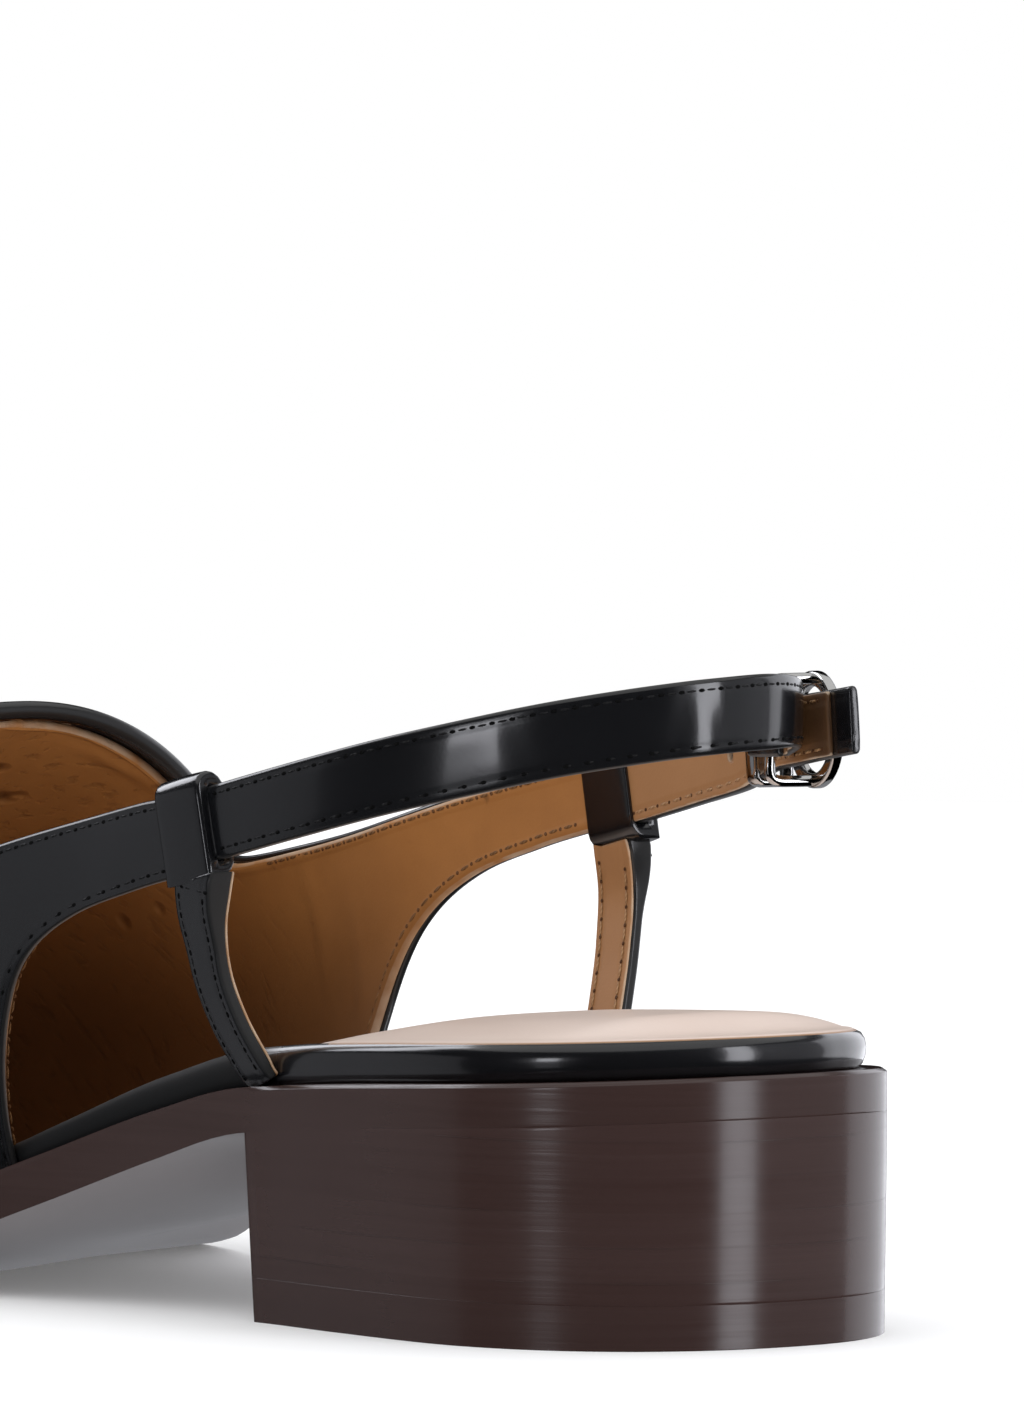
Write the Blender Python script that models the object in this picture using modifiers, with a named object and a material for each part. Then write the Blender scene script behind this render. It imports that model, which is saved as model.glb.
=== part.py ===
"""Left slingback flat: closed vamp, open sides, T-straps, buckled heel strap, stacked block heel.

Sizes are in millimetres here and become metres when a mesh is made. X runs from the back of the
heel to the toe, Y to the wearer's left (the outer side of a left shoe) and Z up from the floor.
"""
import math

import bmesh
import bpy
from mathutils import Matrix, Vector

MM = 0.001
GAP = 0.3
UP = Vector((0.0, 0.0, 1.0))
OUTER, INNER = 1, -1
FORWARD = Vector((1.0, 0.0, 0.0))
WELD = 2e-6
SHARP_ANGLE = math.radians(40.0)

# Steps of the meshes
OUTLINE_SAMPLES = 200
OUTSOLE_STEPS, HEEL_STEPS, RAND_STEPS, INSOLE_STEPS, UPPER_STEPS = 46, 16, 22, 40, 34
WIDE_STEPS, NARROW_STEPS = 8, 6
WALL_STEPS, ARCH_STEPS = 5, 10
EDGE_STEPS, STRAP_STEPS, FOLD_STEPS = 3, 4, 6
RING_SEGMENTS, WIRE_SIDES = 32, 8

# Driving dimensions of the sole
SHOE_LENGTH = 246.0
HEEL_CURVE_LENGTH = 31.5
HEEL_CURVE_POWER = 2.2
TOE_CURVE_LENGTH = 64.0
TOE_CURVE_POWER = 2.1
TIP_WIDTH = 12.0
BALL_LINE_SLANT = 0.34
SLANT_START_X, SLANT_FULL_X = 70.0, 125.0
WAIST_ROUND = 3.4
WAIST_BACK_X, WAIST_FULL_X, WAIST_EASE_X, WAIST_FRONT_X = 66.0, 90.0, 104.0, 150.0

# Driving dimensions of the heel
BREAST_X = 64.9
HEEL_BACK_LEAN = 0.4
HEEL_BREAST_LEAN = 1.4
HEEL_SIDE_DRAFT = 0.988
TOP_PIECE_HEIGHT = 5.0

# Driving dimensions of the leather pieces
UPPER_WALL = 2.2
UPPER_INSET = 1.8
UPPER_BACK_X = 69.4
THROAT_X = 146.0
THROAT_TOP = 90.0
CUTTER_REACH, CUTTER_LOW, CUTTER_HIGH = 70.0, -10.0, 130.0
THROAT_LEAN = 1.5
SIDE_TILT = 0.045
WINDOW_SKEW = 0.07
WING_HALF_WIDTH = 31.0
RAND_INSET = 1.7
RAND_FRONT_X = 103.0
INSOLE_EDGE_STEP = 0.7
INSOLE_FRONT_INSET = UPPER_INSET + UPPER_WALL + 2.0 * GAP
INSOLE_NARROWS_FROM_X, INSOLE_NARROWS_TO_X = 92.0, 104.0
HEEL_PAD_RISE = 1.0
HEEL_PAD_LENGTH = 60.0
STRAP_WIDTH = 8.4
STRAP_THICKNESS = 2.0
STRAP_END_WIDTH = 7.6
STRAP_END_THICKNESS = 1.6
STRAP_CORNER = 0.28
OPENING_CORNER = 0.1
T_STRAP_HEAD_WIDTH = 7.4
T_STRAP_WIDTH = 5.7
T_STRAP_THICKNESS = 2.0
T_STRAP_NECK_SHARE = 0.45
LOOP_LENGTH = 6.8
LOOP_CENTRE_X = 69.7
LOOP_WALL = 1.0
LOOP_HALF_THICKNESS = 0.5 * UPPER_WALL + 0.5
LOOP_HALF_HEIGHT = 5.0

# Driving dimensions of the buckle
RING_RADIUS = 5.75
RING_BAND = 0.85
RING_FLATNESS = 0.76
BAR_RADIUS = 0.65
PRONG_RADIUS = 0.6
KEEPER_START = 7.2
KEEPER_LENGTH = 2.6
KEEPER_WALL = 0.9

# Outline of the sole: half widths of the outer and inner side, before the ends are rounded
SOLE_WIDTHS = (
    # x, outer, inner
    (0.0, 28.5, 28.5),
    (31.5, 28.5, 28.5),
    (48.0, 27.7, 27.5),
    (64.9, 26.4, 26.2),
    (84.0, 27.0, 24.4),
    (105.0, 30.2, 24.2),
    (130.0, 36.6, 29.4),
    (157.0, 41.2, 37.2),
    (178.0, 40.6, 39.4),
    (200.0, 37.0, 37.5),
    (246.0, 27.0, 30.0),
)
# Underside of the outsole and its thickness along the foot
SOLE_PROFILE = (
    # x, underside height
    (0.0, 25.3),
    (64.9, 21.2),
    (82.0, 17.3),
    (101.0, 12.4),
    (121.3, 7.0),
    (130.0, 3.9),
    (138.0, 1.3),
    (147.0, 0.0),
    (184.0, 0.0),
    (202.0, 1.0),
    (224.0, 4.2),
    (246.0, 9.0),
)
SOLE_THICKNESS = (
    # x, thickness
    (0.0, 4.8),
    (64.9, 5.7),
    (90.0, 6.0),
    (115.0, 5.6),
    (150.0, 4.8),
    (246.0, 4.4),
)
RAND_THICKNESS = (
    # x, thickness
    (0.0, 4.0),
    (54.0, 3.9),
    (66.0, 2.7),
    (84.0, 1.9),
    (103.0, 1.0),
)
INSOLE_THICKNESS = (
    # x, thickness
    (0.0, 0.7),
    (60.0, 0.7),
    (110.0, 1.0),
    (246.0, 1.0),
)
# Sections of the last: swell of the belt past the sole edge, belt and ridge heights, ridge shift
UPPER_SECTIONS = (
    # x, outer swell, inner swell, belt height, ridge height, ridge shift, arch power
    (60.0, 6.6, 7.4, 60.0, 99.0, 0.0, 2.0),
    (70.0, 7.0, 7.8, 58.5, 95.0, 0.0, 2.0),
    (84.0, 6.6, 8.8, 52.0, 89.5, -0.2, 2.05),
    (100.0, 5.4, 8.6, 46.0, 84.0, -0.5, 2.1),
    (122.0, 3.4, 7.2, 36.0, 75.0, -1.0, 2.3),
    (146.0, 1.8, 4.6, 27.0, 66.6, -1.5, 2.18),
    (166.0, 1.4, 2.4, 22.0, 57.5, -2.0, 2.2),
    (186.0, 1.2, 1.6, 19.5, 48.0, -2.0, 2.3),
    (206.0, 1.0, 1.2, 19.0, 40.0, -1.5, 2.3),
    (226.0, 0.8, 0.9, 19.5, 33.5, -1.0, 2.3),
    (246.0, 0.6, 0.6, 20.5, 29.0, 0.0, 2.2),
)
TOE_ROUND_LENGTH = 16.0

# Edges of the vamp wings in side view
TOPLINE = (
    # x, height
    (40.0, 66.0),
    (60.0, 62.2),
    (72.0, 60.2),
    (80.0, 58.9),
    (100.0, 54.6),
    (120.0, 49.3),
    (134.0, 46.4),
    (141.0, 46.0),
    (144.6, 48.6),
    (146.0, 54.0),
)
WINDOW_EDGE = (
    # x, height
    (40.0, 57.0),
    (60.0, 53.3),
    (72.0, 50.9),
    (80.0, 49.0),
    (90.0, 46.0),
    (98.0, 41.6),
    (103.0, 36.0),
    (105.4, 29.0),
    (105.4, 19.0),
    (104.8, 5.0),
)
# Middle lines of the straps
T_STRAP_HEAD = 48.3
T_STRAP_PATH = (
    # x, distance from the middle plane, height
    (69.0, 29.9, 43.6),
    (67.6, 28.6, 38.4),
    (66.0, 27.4, 33.4),
    (64.6, 26.2, 28.5),
)
OUTER_STRAP_PATH = (
    # x, y, height
    (68.8, 30.1, 55.2),
    (53.0, 29.0, 58.8),
    (40.0, 26.4, 61.9),
    (30.0, 22.3, 64.3),
    (21.5, 16.4, 66.5),
    (14.8, 8.4, 68.2),
    (12.2, 0.0, 69.1),
    (14.3, -9.4, 69.3),
    (19.2, -16.2, 68.7),
)
INNER_STRAP_PATH = (
    # x, y, height
    (68.8, -30.1, 57.6),
    (53.0, -29.0, 61.0),
    (41.0, -26.5, 63.3),
)
TAIL_DIRECTION = Vector((-0.97, 0.243, 0.12)).normalized()
BUCKLE_CENTRE = Vector((25.5, -22.0, 66.5))
TAIL_LENGTH = 14.0
BUCKLE_LEAD = 8.0
OUTER_PARED_SHARES = 0.6, 0.75
INNER_PARED_SHARES = 0.45, 1.0
FOLD_RISE = 0.9
FOLD_END = (
    # forward, outward and up from the end of the fold
    (-2.5, 0.1, 0.05),
    (-5.0, 0.95, 0.2),
)
RING_RISE = 0.4
BAR_SHAPE = (
    # share of the ring's radius, share of the bar's inset
    (1.0, 0.0),
    (1.0, 0.5),
    (0.98, 0.85),
    (0.84, 1.0),
    (0.4, 1.0),
)
PRONG_RISE = 0.2
PRONG_SHAPE = (
    # forward in ring radii, share of the way from the strap out over the ring
    (-0.07, 0.0),
    (0.28, 0.06),
    (0.73, 0.83),
    (1.0, 1.0),
    (1.23, 0.89),
)

MATERIALS = {
    # name: colour, roughness, metallic
    "black_leather": ((0.012, 0.012, 0.014), 0.28, 0.0),
    "insole_leather": ((0.62, 0.45, 0.36), 0.5, 0.0),
    "stacked_heel": ((0.045, 0.026, 0.022), 0.4, 0.0),
    "sole_leather": ((0.05, 0.029, 0.025), 0.38, 0.0),
    "heel_rubber": ((0.04, 0.024, 0.02), 0.5, 0.0),
    "polished_metal": ((0.78, 0.78, 0.8), 0.12, 1.0),
}


def clear_scene():
    """Removes whatever objects the file holds."""
    for item in list(bpy.data.objects):
        bpy.data.objects.remove(item, do_unlink=True)


def make_collection(name):
    """Links a new collection to the scene."""
    collection = bpy.data.collections.new(name)
    bpy.context.scene.collection.children.link(collection)
    return collection


def make_material(name):
    """Plain Principled material from the table above."""
    colour, roughness, metallic = MATERIALS[name]
    material = bpy.data.materials.new(name)
    material.use_nodes = True
    shader = material.node_tree.nodes["Principled BSDF"]
    shader.inputs["Base Color"].default_value = (*colour, 1.0)
    shader.inputs["Roughness"].default_value = roughness
    shader.inputs["Metallic"].default_value = metallic
    material.diffuse_color = (*colour, 1.0)
    return material


def slopes_of(points):
    """Slopes that keep a curve through the points from overshooting them."""
    steps = [(b[1] - a[1]) / (b[0] - a[0]) for a, b in zip(points, points[1:])]
    slopes = [steps[0]]
    for before, after in zip(steps, steps[1:]):
        slopes.append(0.0 if before * after <= 0.0 else 2.0 * before * after / (before + after))
    return slopes + [steps[-1]]


def read_table(table, x, column=1):
    """Smooth value of one column of a table at x."""
    points = [(row[0], row[column]) for row in table]
    x = min(max(x, points[0][0]), points[-1][0])
    slopes = slopes_of(points)
    for (start, end), (slope_a, slope_b) in zip(zip(points, points[1:]), zip(slopes, slopes[1:])):
        if x <= end[0]:
            break
    span = end[0] - start[0]
    t = (x - start[0]) / span
    return ((2 * t**3 - 3 * t**2 + 1) * start[1] + (t**3 - 2 * t**2 + t) * span * slope_a
            + (3 * t**2 - 2 * t**3) * end[1] + (t**3 - t**2) * span * slope_b)


def ease(start, end, x):
    """Smooth step from 0 to 1."""
    t = min(max((x - start) / (end - start), 0.0), 1.0)
    return t * t * (3.0 - 2.0 * t)


def rounded_end(distance, length, power):
    """Share of the full width at a distance from a rounded end."""
    if distance >= length:
        return 1.0
    share = 1.0 - max(distance, 0.0) / length
    return max(1.0 - share**power, 0.0) ** (1.0 / power)


def half_width(x, side, inset=0.0):
    """Half width of the sole's outline, or of the same outline drawn inwards."""
    x = (x - inset) * SHOE_LENGTH / (SHOE_LENGTH - 2.0 * inset)
    width = read_table(SOLE_WIDTHS, x, 1 if side == OUTER else 2)
    width *= rounded_end(x, HEEL_CURVE_LENGTH, HEEL_CURVE_POWER)
    width *= rounded_end(SHOE_LENGTH - x, TOE_CURVE_LENGTH, TOE_CURVE_POWER)
    return width - inset * min(1.0, width / TIP_WIDTH)


def sole_edge(x, y):
    """Lower edge of the outsole: heel seat, arch, flat tread on a slanted ball line, toe spring."""
    slant = BALL_LINE_SLANT * ease(SLANT_START_X, SLANT_FULL_X, x)
    return read_table(SOLE_PROFILE, x + slant * y)


def sole_bottom(x, y):
    """Underside of the outsole, which bulges down between the edges of the waist."""
    edge = sole_edge(x, y)
    waist = ease(WAIST_BACK_X, WAIST_FULL_X, x) * (1.0 - ease(WAIST_EASE_X, WAIST_FRONT_X, x))
    across = min(abs(y) / max(half_width(x, OUTER if y > 0.0 else INNER), GAP), 1.0)
    return max(edge - WAIST_ROUND * waist * (1.0 - across**2), min(edge, 0.0))


def sole_top(x, y):
    """Upper side of the outsole."""
    return sole_edge(x, y) + read_table(SOLE_THICKNESS, x)


def rand_top(x, y):
    """Top of the wrapped footbed, or of the outsole in front of it."""
    if x > RAND_FRONT_X:
        return sole_top(x, y)
    return sole_top(x, y) + GAP + read_table(RAND_THICKNESS, x)


def insole_inset(x):
    """The insole stands just inside the footbed, and in front inside the vamp's wall."""
    heel_inset = RAND_INSET + INSOLE_EDGE_STEP
    narrowing = ease(INSOLE_NARROWS_FROM_X, INSOLE_NARROWS_TO_X, x)
    return heel_inset + (INSOLE_FRONT_INSET - heel_inset) * narrowing


def insole_bottom(x, y):
    """Underside of the insole, which runs from the footbed down to the outsole."""
    return sole_top(x, y) + 2.0 * GAP + read_table(RAND_THICKNESS, x)


def insole_top(x, y):
    """Top of the insole with its padded heel."""
    half_length = 0.5 * HEEL_PAD_LENGTH
    across = min(abs(y) / half_width(half_length, OUTER), 1.0)
    along = min(abs(x - half_length) / half_length, 1.0)
    pad = HEEL_PAD_RISE * (1.0 - across**4) * (1.0 - along**4)
    return insole_bottom(x, y) + read_table(INSOLE_THICKNESS, x) + pad


def spread_both(start, end, count):
    """Stations that crowd towards both ends."""
    shares = [0.5 * (1.0 - math.cos(math.pi * i / count)) for i in range(count + 1)]
    return [start + (end - start) * share for share in shares]


def spread_start(start, end, count):
    """Stations that crowd towards the start."""
    shares = [1.0 - math.cos(0.5 * math.pi * i / count) for i in range(count + 1)]
    return [start + (end - start) * share for share in shares]


def smooth_path(rows, per_span):
    """Points of a smooth curve through the rows."""
    points = [Vector(row) for row in rows]
    ends = [2.0 * points[0] - points[1]] + points + [2.0 * points[-1] - points[-2]]
    path = []
    for a, b, c, d in zip(ends, ends[1:], ends[2:], ends[3:]):
        for i in range(per_span):
            t = i / per_span
            path.append(0.5 * (2.0 * b + (c - a) * t + (2.0 * a - 5.0 * b + 4.0 * c - d) * t * t
                               + (3.0 * b - a - 3.0 * c + d) * t**3))
    return path + [points[-1]]


def outline_middle():
    """Middle of the box round the sole's outline, on the floor."""
    stations = spread_both(0.0, SHOE_LENGTH, OUTLINE_SAMPLES)
    outer, inner = (max(half_width(x, side) for x in stations) for side in (OUTER, INNER))
    return Vector((0.5 * SHOE_LENGTH, 0.5 * (outer - inner), 0.0))


ORIGIN = outline_middle()


def place(point):
    """Millimetres in the tables to metres in the part's frame."""
    return (Vector(point) - ORIGIN) * MM


def finish_mesh(name, mesh_data, collection, material=None):
    """Welds a bmesh, turns its faces outwards and links it as an object."""
    bmesh.ops.remove_doubles(mesh_data, verts=mesh_data.verts, dist=WELD)
    bmesh.ops.dissolve_degenerate(mesh_data, edges=mesh_data.edges, dist=WELD)
    bmesh.ops.recalc_face_normals(mesh_data, faces=mesh_data.faces)
    mesh = bpy.data.meshes.new(name)
    mesh_data.to_mesh(mesh)
    mesh_data.free()
    mesh.shade_smooth()
    mesh.set_sharp_from_angle(angle=SHARP_ANGLE)
    item = bpy.data.objects.new(name, mesh)
    collection.objects.link(item)
    if material is not None:
        mesh.materials.append(material)
    return item


def skin(mesh_data, rings, closed):
    """Joins rows of points with faces; closed rows are loops."""
    rows = [[mesh_data.verts.new(place(p)) for p in ring] for ring in rings]
    for row_a, row_b in zip(rows, rows[1:]):
        count = len(row_a)
        for i in range(count if closed else count - 1):
            j = (i + 1) % count
            mesh_data.faces.new((row_a[i], row_a[j], row_b[j], row_b[i]))
    return rows


def slab(name, stations, inset, top, bottom, across, collection, material, shift=None):
    """Plate with the sole's outline between two height functions."""
    loops = []
    for x in stations:
        widths = half_width(x, OUTER, inset(x)), half_width(x, INNER, inset(x))
        ys = [-widths[1] + (widths[0] + widths[1]) * i / across for i in range(across + 1)]
        upper_row = [(x, y, top(x, y)) for y in ys]
        lower_row = [(x, y, bottom(x, y)) for y in reversed(ys)]
        if shift is not None:
            lower_row = [shift(p) for p in lower_row]
            upper_row = [shift(p) for p in upper_row]
        loops.append(upper_row + lower_row)
    mesh_data = bmesh.new()
    rows = skin(mesh_data, loops, closed=True)
    for row in (rows[0], rows[-1]):
        for i in range(across):
            mesh_data.faces.new((row[i], row[i + 1], row[-2 - i], row[-1 - i]))
    return finish_mesh(name, mesh_data, collection, material)


def tube(name, loops, collection, material):
    """Solid swept through closed loops, with flat ends."""
    mesh_data = bmesh.new()
    rows = skin(mesh_data, loops, closed=True)
    mesh_data.faces.new(rows[0])
    mesh_data.faces.new(rows[-1])
    return finish_mesh(name, mesh_data, collection, material)


def sleeve(name, outer_loops, inner_loops, collection, material):
    """Open ended tube with a wall, from outer and inner loops."""
    mesh_data = bmesh.new()
    loops = outer_loops + list(reversed(inner_loops))
    skin(mesh_data, loops + [loops[0]], closed=True)
    return finish_mesh(name, mesh_data, collection, material)


def frames_along(path):
    """Tangent, thickness and width directions of an upright band at each point of a path."""
    frames = []
    for i, point in enumerate(path):
        tangent = (path[min(i + 1, len(path) - 1)] - path[max(i - 1, 0)]).normalized()
        across = tangent.cross(UP).normalized()
        frames.append((point, tangent, across, across.cross(tangent)))
    return frames


def band_loop(point, across, upright, thickness, width, corner_share=STRAP_CORNER):
    """Section of a strap: a rectangle with its corners taken off."""
    corner = corner_share * min(thickness, width)
    half_t, half_w = 0.5 * thickness, 0.5 * width
    corners = [(half_t, half_w - corner), (half_t - corner, half_w), (corner - half_t, half_w),
               (-half_t, half_w - corner), (-half_t, corner - half_w), (corner - half_t, -half_w),
               (half_t - corner, -half_w), (half_t, corner - half_w)]
    return [point + across * a + upright * b for a, b in corners]


def band(name, frames, size_at, collection, material):
    """Strap through frames; size_at gives thickness and width for a share of its length."""
    last = len(frames) - 1
    loops = []
    for i, (point, _, across, upright) in enumerate(frames):
        thickness, width = size_at(i / last)
        loops.append(band_loop(point, across, upright, thickness, width))
    return tube(name, loops, collection, material)


def upper_section(x):
    """One section of the last, from the outer sole edge over the ridge to the inner sole edge."""
    belt = read_table(UPPER_SECTIONS, x, 3)
    shift = read_table(UPPER_SECTIONS, x, 5)
    power = read_table(UPPER_SECTIONS, x, 6)
    front = SHOE_LENGTH - UPPER_INSET
    toe_share = rounded_end(front - x, TOE_ROUND_LENGTH, 2.0)
    ridge = belt + (read_table(UPPER_SECTIONS, x, 4) - belt) * toe_share
    tip_share = rounded_end(front - x, TOE_CURVE_LENGTH, TOE_CURVE_POWER)
    halves = []
    for side, column in ((OUTER, 1), (INNER, 2)):
        foot = half_width(x, side, UPPER_INSET)
        widest = foot + read_table(UPPER_SECTIONS, x, column) * tip_share
        base = sole_top(x, side * foot) + GAP
        points = []
        for i in range(WALL_STEPS):
            t = i / WALL_STEPS
            width = foot + (widest - foot) * (1.0 - (1.0 - t) ** 2)
            points.append((x, side * width, base + (belt - base) * t))
        for i in range(ARCH_STEPS + 1):
            angle = 0.5 * math.pi * i / ARCH_STEPS
            width = widest * max(math.cos(angle), 0.0) ** (2.0 / power)
            lift = math.sin(angle) ** (2.0 / power)
            points.append((x, side * width + shift * tip_share * lift, belt + (ridge - belt) * lift))
        halves.append(points)
    return halves[0] + list(reversed(halves[1][:-1]))


def side_cutter(name, outline, skew, collection):
    """Prism through both sides of the shoe, higher and further forward on the inner side."""
    loops = []
    for y in (-CUTTER_REACH, CUTTER_REACH):
        loops.append([(x + skew * (WING_HALF_WIDTH - y), y, z - SIDE_TILT * y) for x, z in outline])
    return tube(name, loops, collection, None)


def cut(item, cutter, operation="DIFFERENCE"):
    """Adds an exact Boolean to an object and hides the cutter."""
    cutter.hide_render = True
    cutter.display_type = "WIRE"
    modifier = item.modifiers.new(cutter.name, "BOOLEAN")
    modifier.operation = operation
    modifier.object = cutter
    modifier.solver = "EXACT"


def make_upper(parts, cutters, material):
    """Vamp with its two wings: a shell over the last, open at the collar, the sides and below."""
    front = SHOE_LENGTH - UPPER_INSET
    back = UPPER_BACK_X - LOOP_LENGTH
    stations = sorted(back + front - x for x in spread_start(back, front, UPPER_STEPS))
    mesh_data = bmesh.new()
    skin(mesh_data, [upper_section(x) for x in stations], closed=False)
    upper = finish_mesh("upper", mesh_data, parts, material)
    wall = upper.modifiers.new("wall", "SOLIDIFY")
    wall.thickness = UPPER_WALL * MM
    wall.offset = -1.0
    wall.use_even_offset = True
    topline = [tuple(p) for p in smooth_path(TOPLINE, EDGE_STEPS)]
    window = [tuple(p) for p in smooth_path(WINDOW_EDGE, EDGE_STEPS)]
    cutter_back = TOPLINE[0][0]
    collar = [(cutter_back, CUTTER_LOW), (UPPER_BACK_X, CUTTER_LOW)]
    collar += [p for p in topline if p[0] > UPPER_BACK_X]
    collar += [(THROAT_X + THROAT_LEAN, THROAT_TOP), (THROAT_X, CUTTER_HIGH), (cutter_back, CUTTER_HIGH)]
    cut(upper, side_cutter("collar_cutter", collar, 0.0, cutters))
    window.append((WINDOW_EDGE[0][0], WINDOW_EDGE[-1][1]))
    cut(upper, side_cutter("window_cutter", window, WINDOW_SKEW, cutters))


def make_sole_pieces(parts, materials):
    """Outsole, stacked heel, top piece, wrapped footbed and insole."""
    heel_stations = spread_start(0.0, BREAST_X, HEEL_STEPS)

    def lean(point):
        x, y, z = point
        drop = 1.0 - min(z / read_table(SOLE_PROFILE, BREAST_X), 1.0)
        along = x / BREAST_X
        moved = HEEL_BACK_LEAN * (1.0 - along) - HEEL_BREAST_LEAN * along
        return x + moved * drop, y * (1.0 + (HEEL_SIDE_DRAFT - 1.0) * drop), z

    def full(x):
        return 0.0

    rand_stations = spread_start(RAND_INSET, RAND_FRONT_X, RAND_STEPS)
    insole_back, insole_front = RAND_INSET + INSOLE_EDGE_STEP, SHOE_LENGTH - INSOLE_FRONT_INSET
    insole_stations = spread_both(insole_back, insole_front, INSOLE_STEPS)
    slab("outsole", spread_both(0.0, SHOE_LENGTH, OUTSOLE_STEPS), full, sole_top, sole_bottom,
         WIDE_STEPS, parts, materials["sole_leather"])
    slab("heel_block", heel_stations, full, lambda x, y: sole_edge(x, y) - GAP,
         lambda x, y: TOP_PIECE_HEIGHT + GAP, NARROW_STEPS, parts, materials["stacked_heel"], lean)
    slab("heel_top_piece", heel_stations, full, lambda x, y: TOP_PIECE_HEIGHT,
         lambda x, y: 0.0, NARROW_STEPS, parts, materials["heel_rubber"], lean)
    slab("footbed_rand", rand_stations, lambda x: RAND_INSET, rand_top,
         lambda x, y: sole_top(x, y) + GAP, NARROW_STEPS, parts, materials["black_leather"])
    slab("insole", insole_stations, insole_inset, insole_top, insole_bottom,
         WIDE_STEPS, parts, materials["insole_leather"])


def loop_sections(frames, half_t, half_w, corner_share):
    """Rounded rectangles around a strap, one for each frame."""
    return [band_loop(point, across, upright, 2.0 * half_t, 2.0 * half_w, corner_share)
            for point, _, across, upright in frames]


def wrap_strap(name, frames, half_t, half_w, wall, parts, material):
    """Sleeve round a strap, with a wall of its own."""
    sleeve(name, loop_sections(frames, half_t + wall, half_w + wall, STRAP_CORNER),
           loop_sections(frames, half_t, half_w, OPENING_CORNER), parts, material)


def loop_frame(strap_path):
    """Middle and directions of the loop that the heel strap leaves from."""
    start = Vector(strap_path[0])
    along = (start - Vector(strap_path[1])).normalized()
    across = along.cross(UP).normalized()
    centre = start + along * ((LOOP_CENTRE_X - start.x) / along.x)
    return centre, along, across, across.cross(along)


def make_strap_loop(label, strap_path, parts, material):
    """Leather loop at the head of the T-strap, round the vamp's wing and the heel strap."""
    centre, along, across, upright = loop_frame(strap_path)
    ends = [(centre + along * (0.5 * LOOP_LENGTH * e), along, across, upright) for e in (-1.0, 1.0)]
    wrap_strap("strap_loop_" + label, ends, LOOP_HALF_THICKNESS, LOOP_HALF_HEIGHT, LOOP_WALL, parts, material)


def make_t_strap(side, label, strap_path, parts, material):
    """T-strap from the sole to the underside of its loop."""
    centre, along, loop_across, upright = loop_frame(strap_path)
    head = centre - upright * (LOOP_HALF_HEIGHT + LOOP_WALL + GAP)
    foot_height = T_STRAP_PATH[-1][2]
    stretch = (head.z - foot_height) / (T_STRAP_HEAD - foot_height)
    rows = [tuple(head)]
    for x, y, z in T_STRAP_PATH:
        rows.append((x, side * y, foot_height + (z - foot_height) * stretch))
    path = smooth_path(rows, STRAP_STEPS)
    frames = [(head, -upright, loop_across, along)]
    for point, tangent, _, _ in frames_along(path)[1:]:
        across = tangent.cross(FORWARD).normalized()
        frames.append((point, tangent, across, across.cross(tangent)))

    def size_at(share):
        narrowing = ease(0.0, T_STRAP_NECK_SHARE, share)
        return T_STRAP_THICKNESS, T_STRAP_HEAD_WIDTH + (T_STRAP_WIDTH - T_STRAP_HEAD_WIDTH) * narrowing

    band("t_strap_" + label, frames, size_at, parts, material)


def strap_size(pared_from, pared_to):
    """Strap section that is pared towards its end."""
    def size(share):
        pared = ease(pared_from, pared_to, share)
        return (STRAP_THICKNESS + (STRAP_END_THICKNESS - STRAP_THICKNESS) * pared,
                STRAP_WIDTH + (STRAP_END_WIDTH - STRAP_WIDTH) * pared)
    return size


def buckle_axes():
    """Level directions at the buckle: forward along the strap and outwards from the foot."""
    forward = Vector((-TAIL_DIRECTION.x, -TAIL_DIRECTION.y, 0.0)).normalized()
    return forward, forward.cross(UP)


def buckle_point(forward_by, outward_by, up_by):
    """Point near the buckle, measured from the middle of the strap that passes through it."""
    forward, outward = buckle_axes()
    return BUCKLE_CENTRE + forward * forward_by + outward * outward_by + UP * up_by


FOLD_RADIUS = BAR_RADIUS + GAP + 0.5 * STRAP_END_THICKNESS
FOLD_LEG = -(STRAP_END_THICKNESS + GAP)
BAR_OUTWARD = FOLD_LEG - FOLD_RADIUS
RING_OUTWARD = 0.5 * STRAP_THICKNESS + GAP + RING_BAND * RING_FLATNESS


def make_heel_straps(parts, material):
    """Outer strap round the heel, folded round the buckle bar, and inner strap with its tail."""
    leg_end = buckle_point(0.0, FOLD_LEG, FOLD_RISE)
    path = smooth_path(list(OUTER_STRAP_PATH) + [tuple(leg_end)], STRAP_STEPS)
    for i in range(1, FOLD_STEPS + 1):
        angle = math.pi * i / FOLD_STEPS
        outward_by = BAR_OUTWARD + FOLD_RADIUS * math.cos(angle)
        path.append(buckle_point(FOLD_RADIUS * math.sin(angle), outward_by, FOLD_RISE))
    for forward_by, outward_by, up_by in FOLD_END:
        path.append(buckle_point(forward_by, BAR_OUTWARD - FOLD_RADIUS + outward_by, FOLD_RISE + up_by))
    band("heel_strap_outer", frames_along(path), strap_size(*OUTER_PARED_SHARES), parts, material)
    tail_end = BUCKLE_CENTRE + TAIL_DIRECTION * TAIL_LENGTH
    lead = BUCKLE_CENTRE - TAIL_DIRECTION * BUCKLE_LEAD
    inner_rows = list(INNER_STRAP_PATH) + [tuple(lead), tuple(BUCKLE_CENTRE), tuple(tail_end)]
    path = smooth_path(inner_rows, STRAP_STEPS)
    band("heel_strap_inner", frames_along(path), strap_size(*INNER_PARED_SHARES), parts, material)


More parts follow.
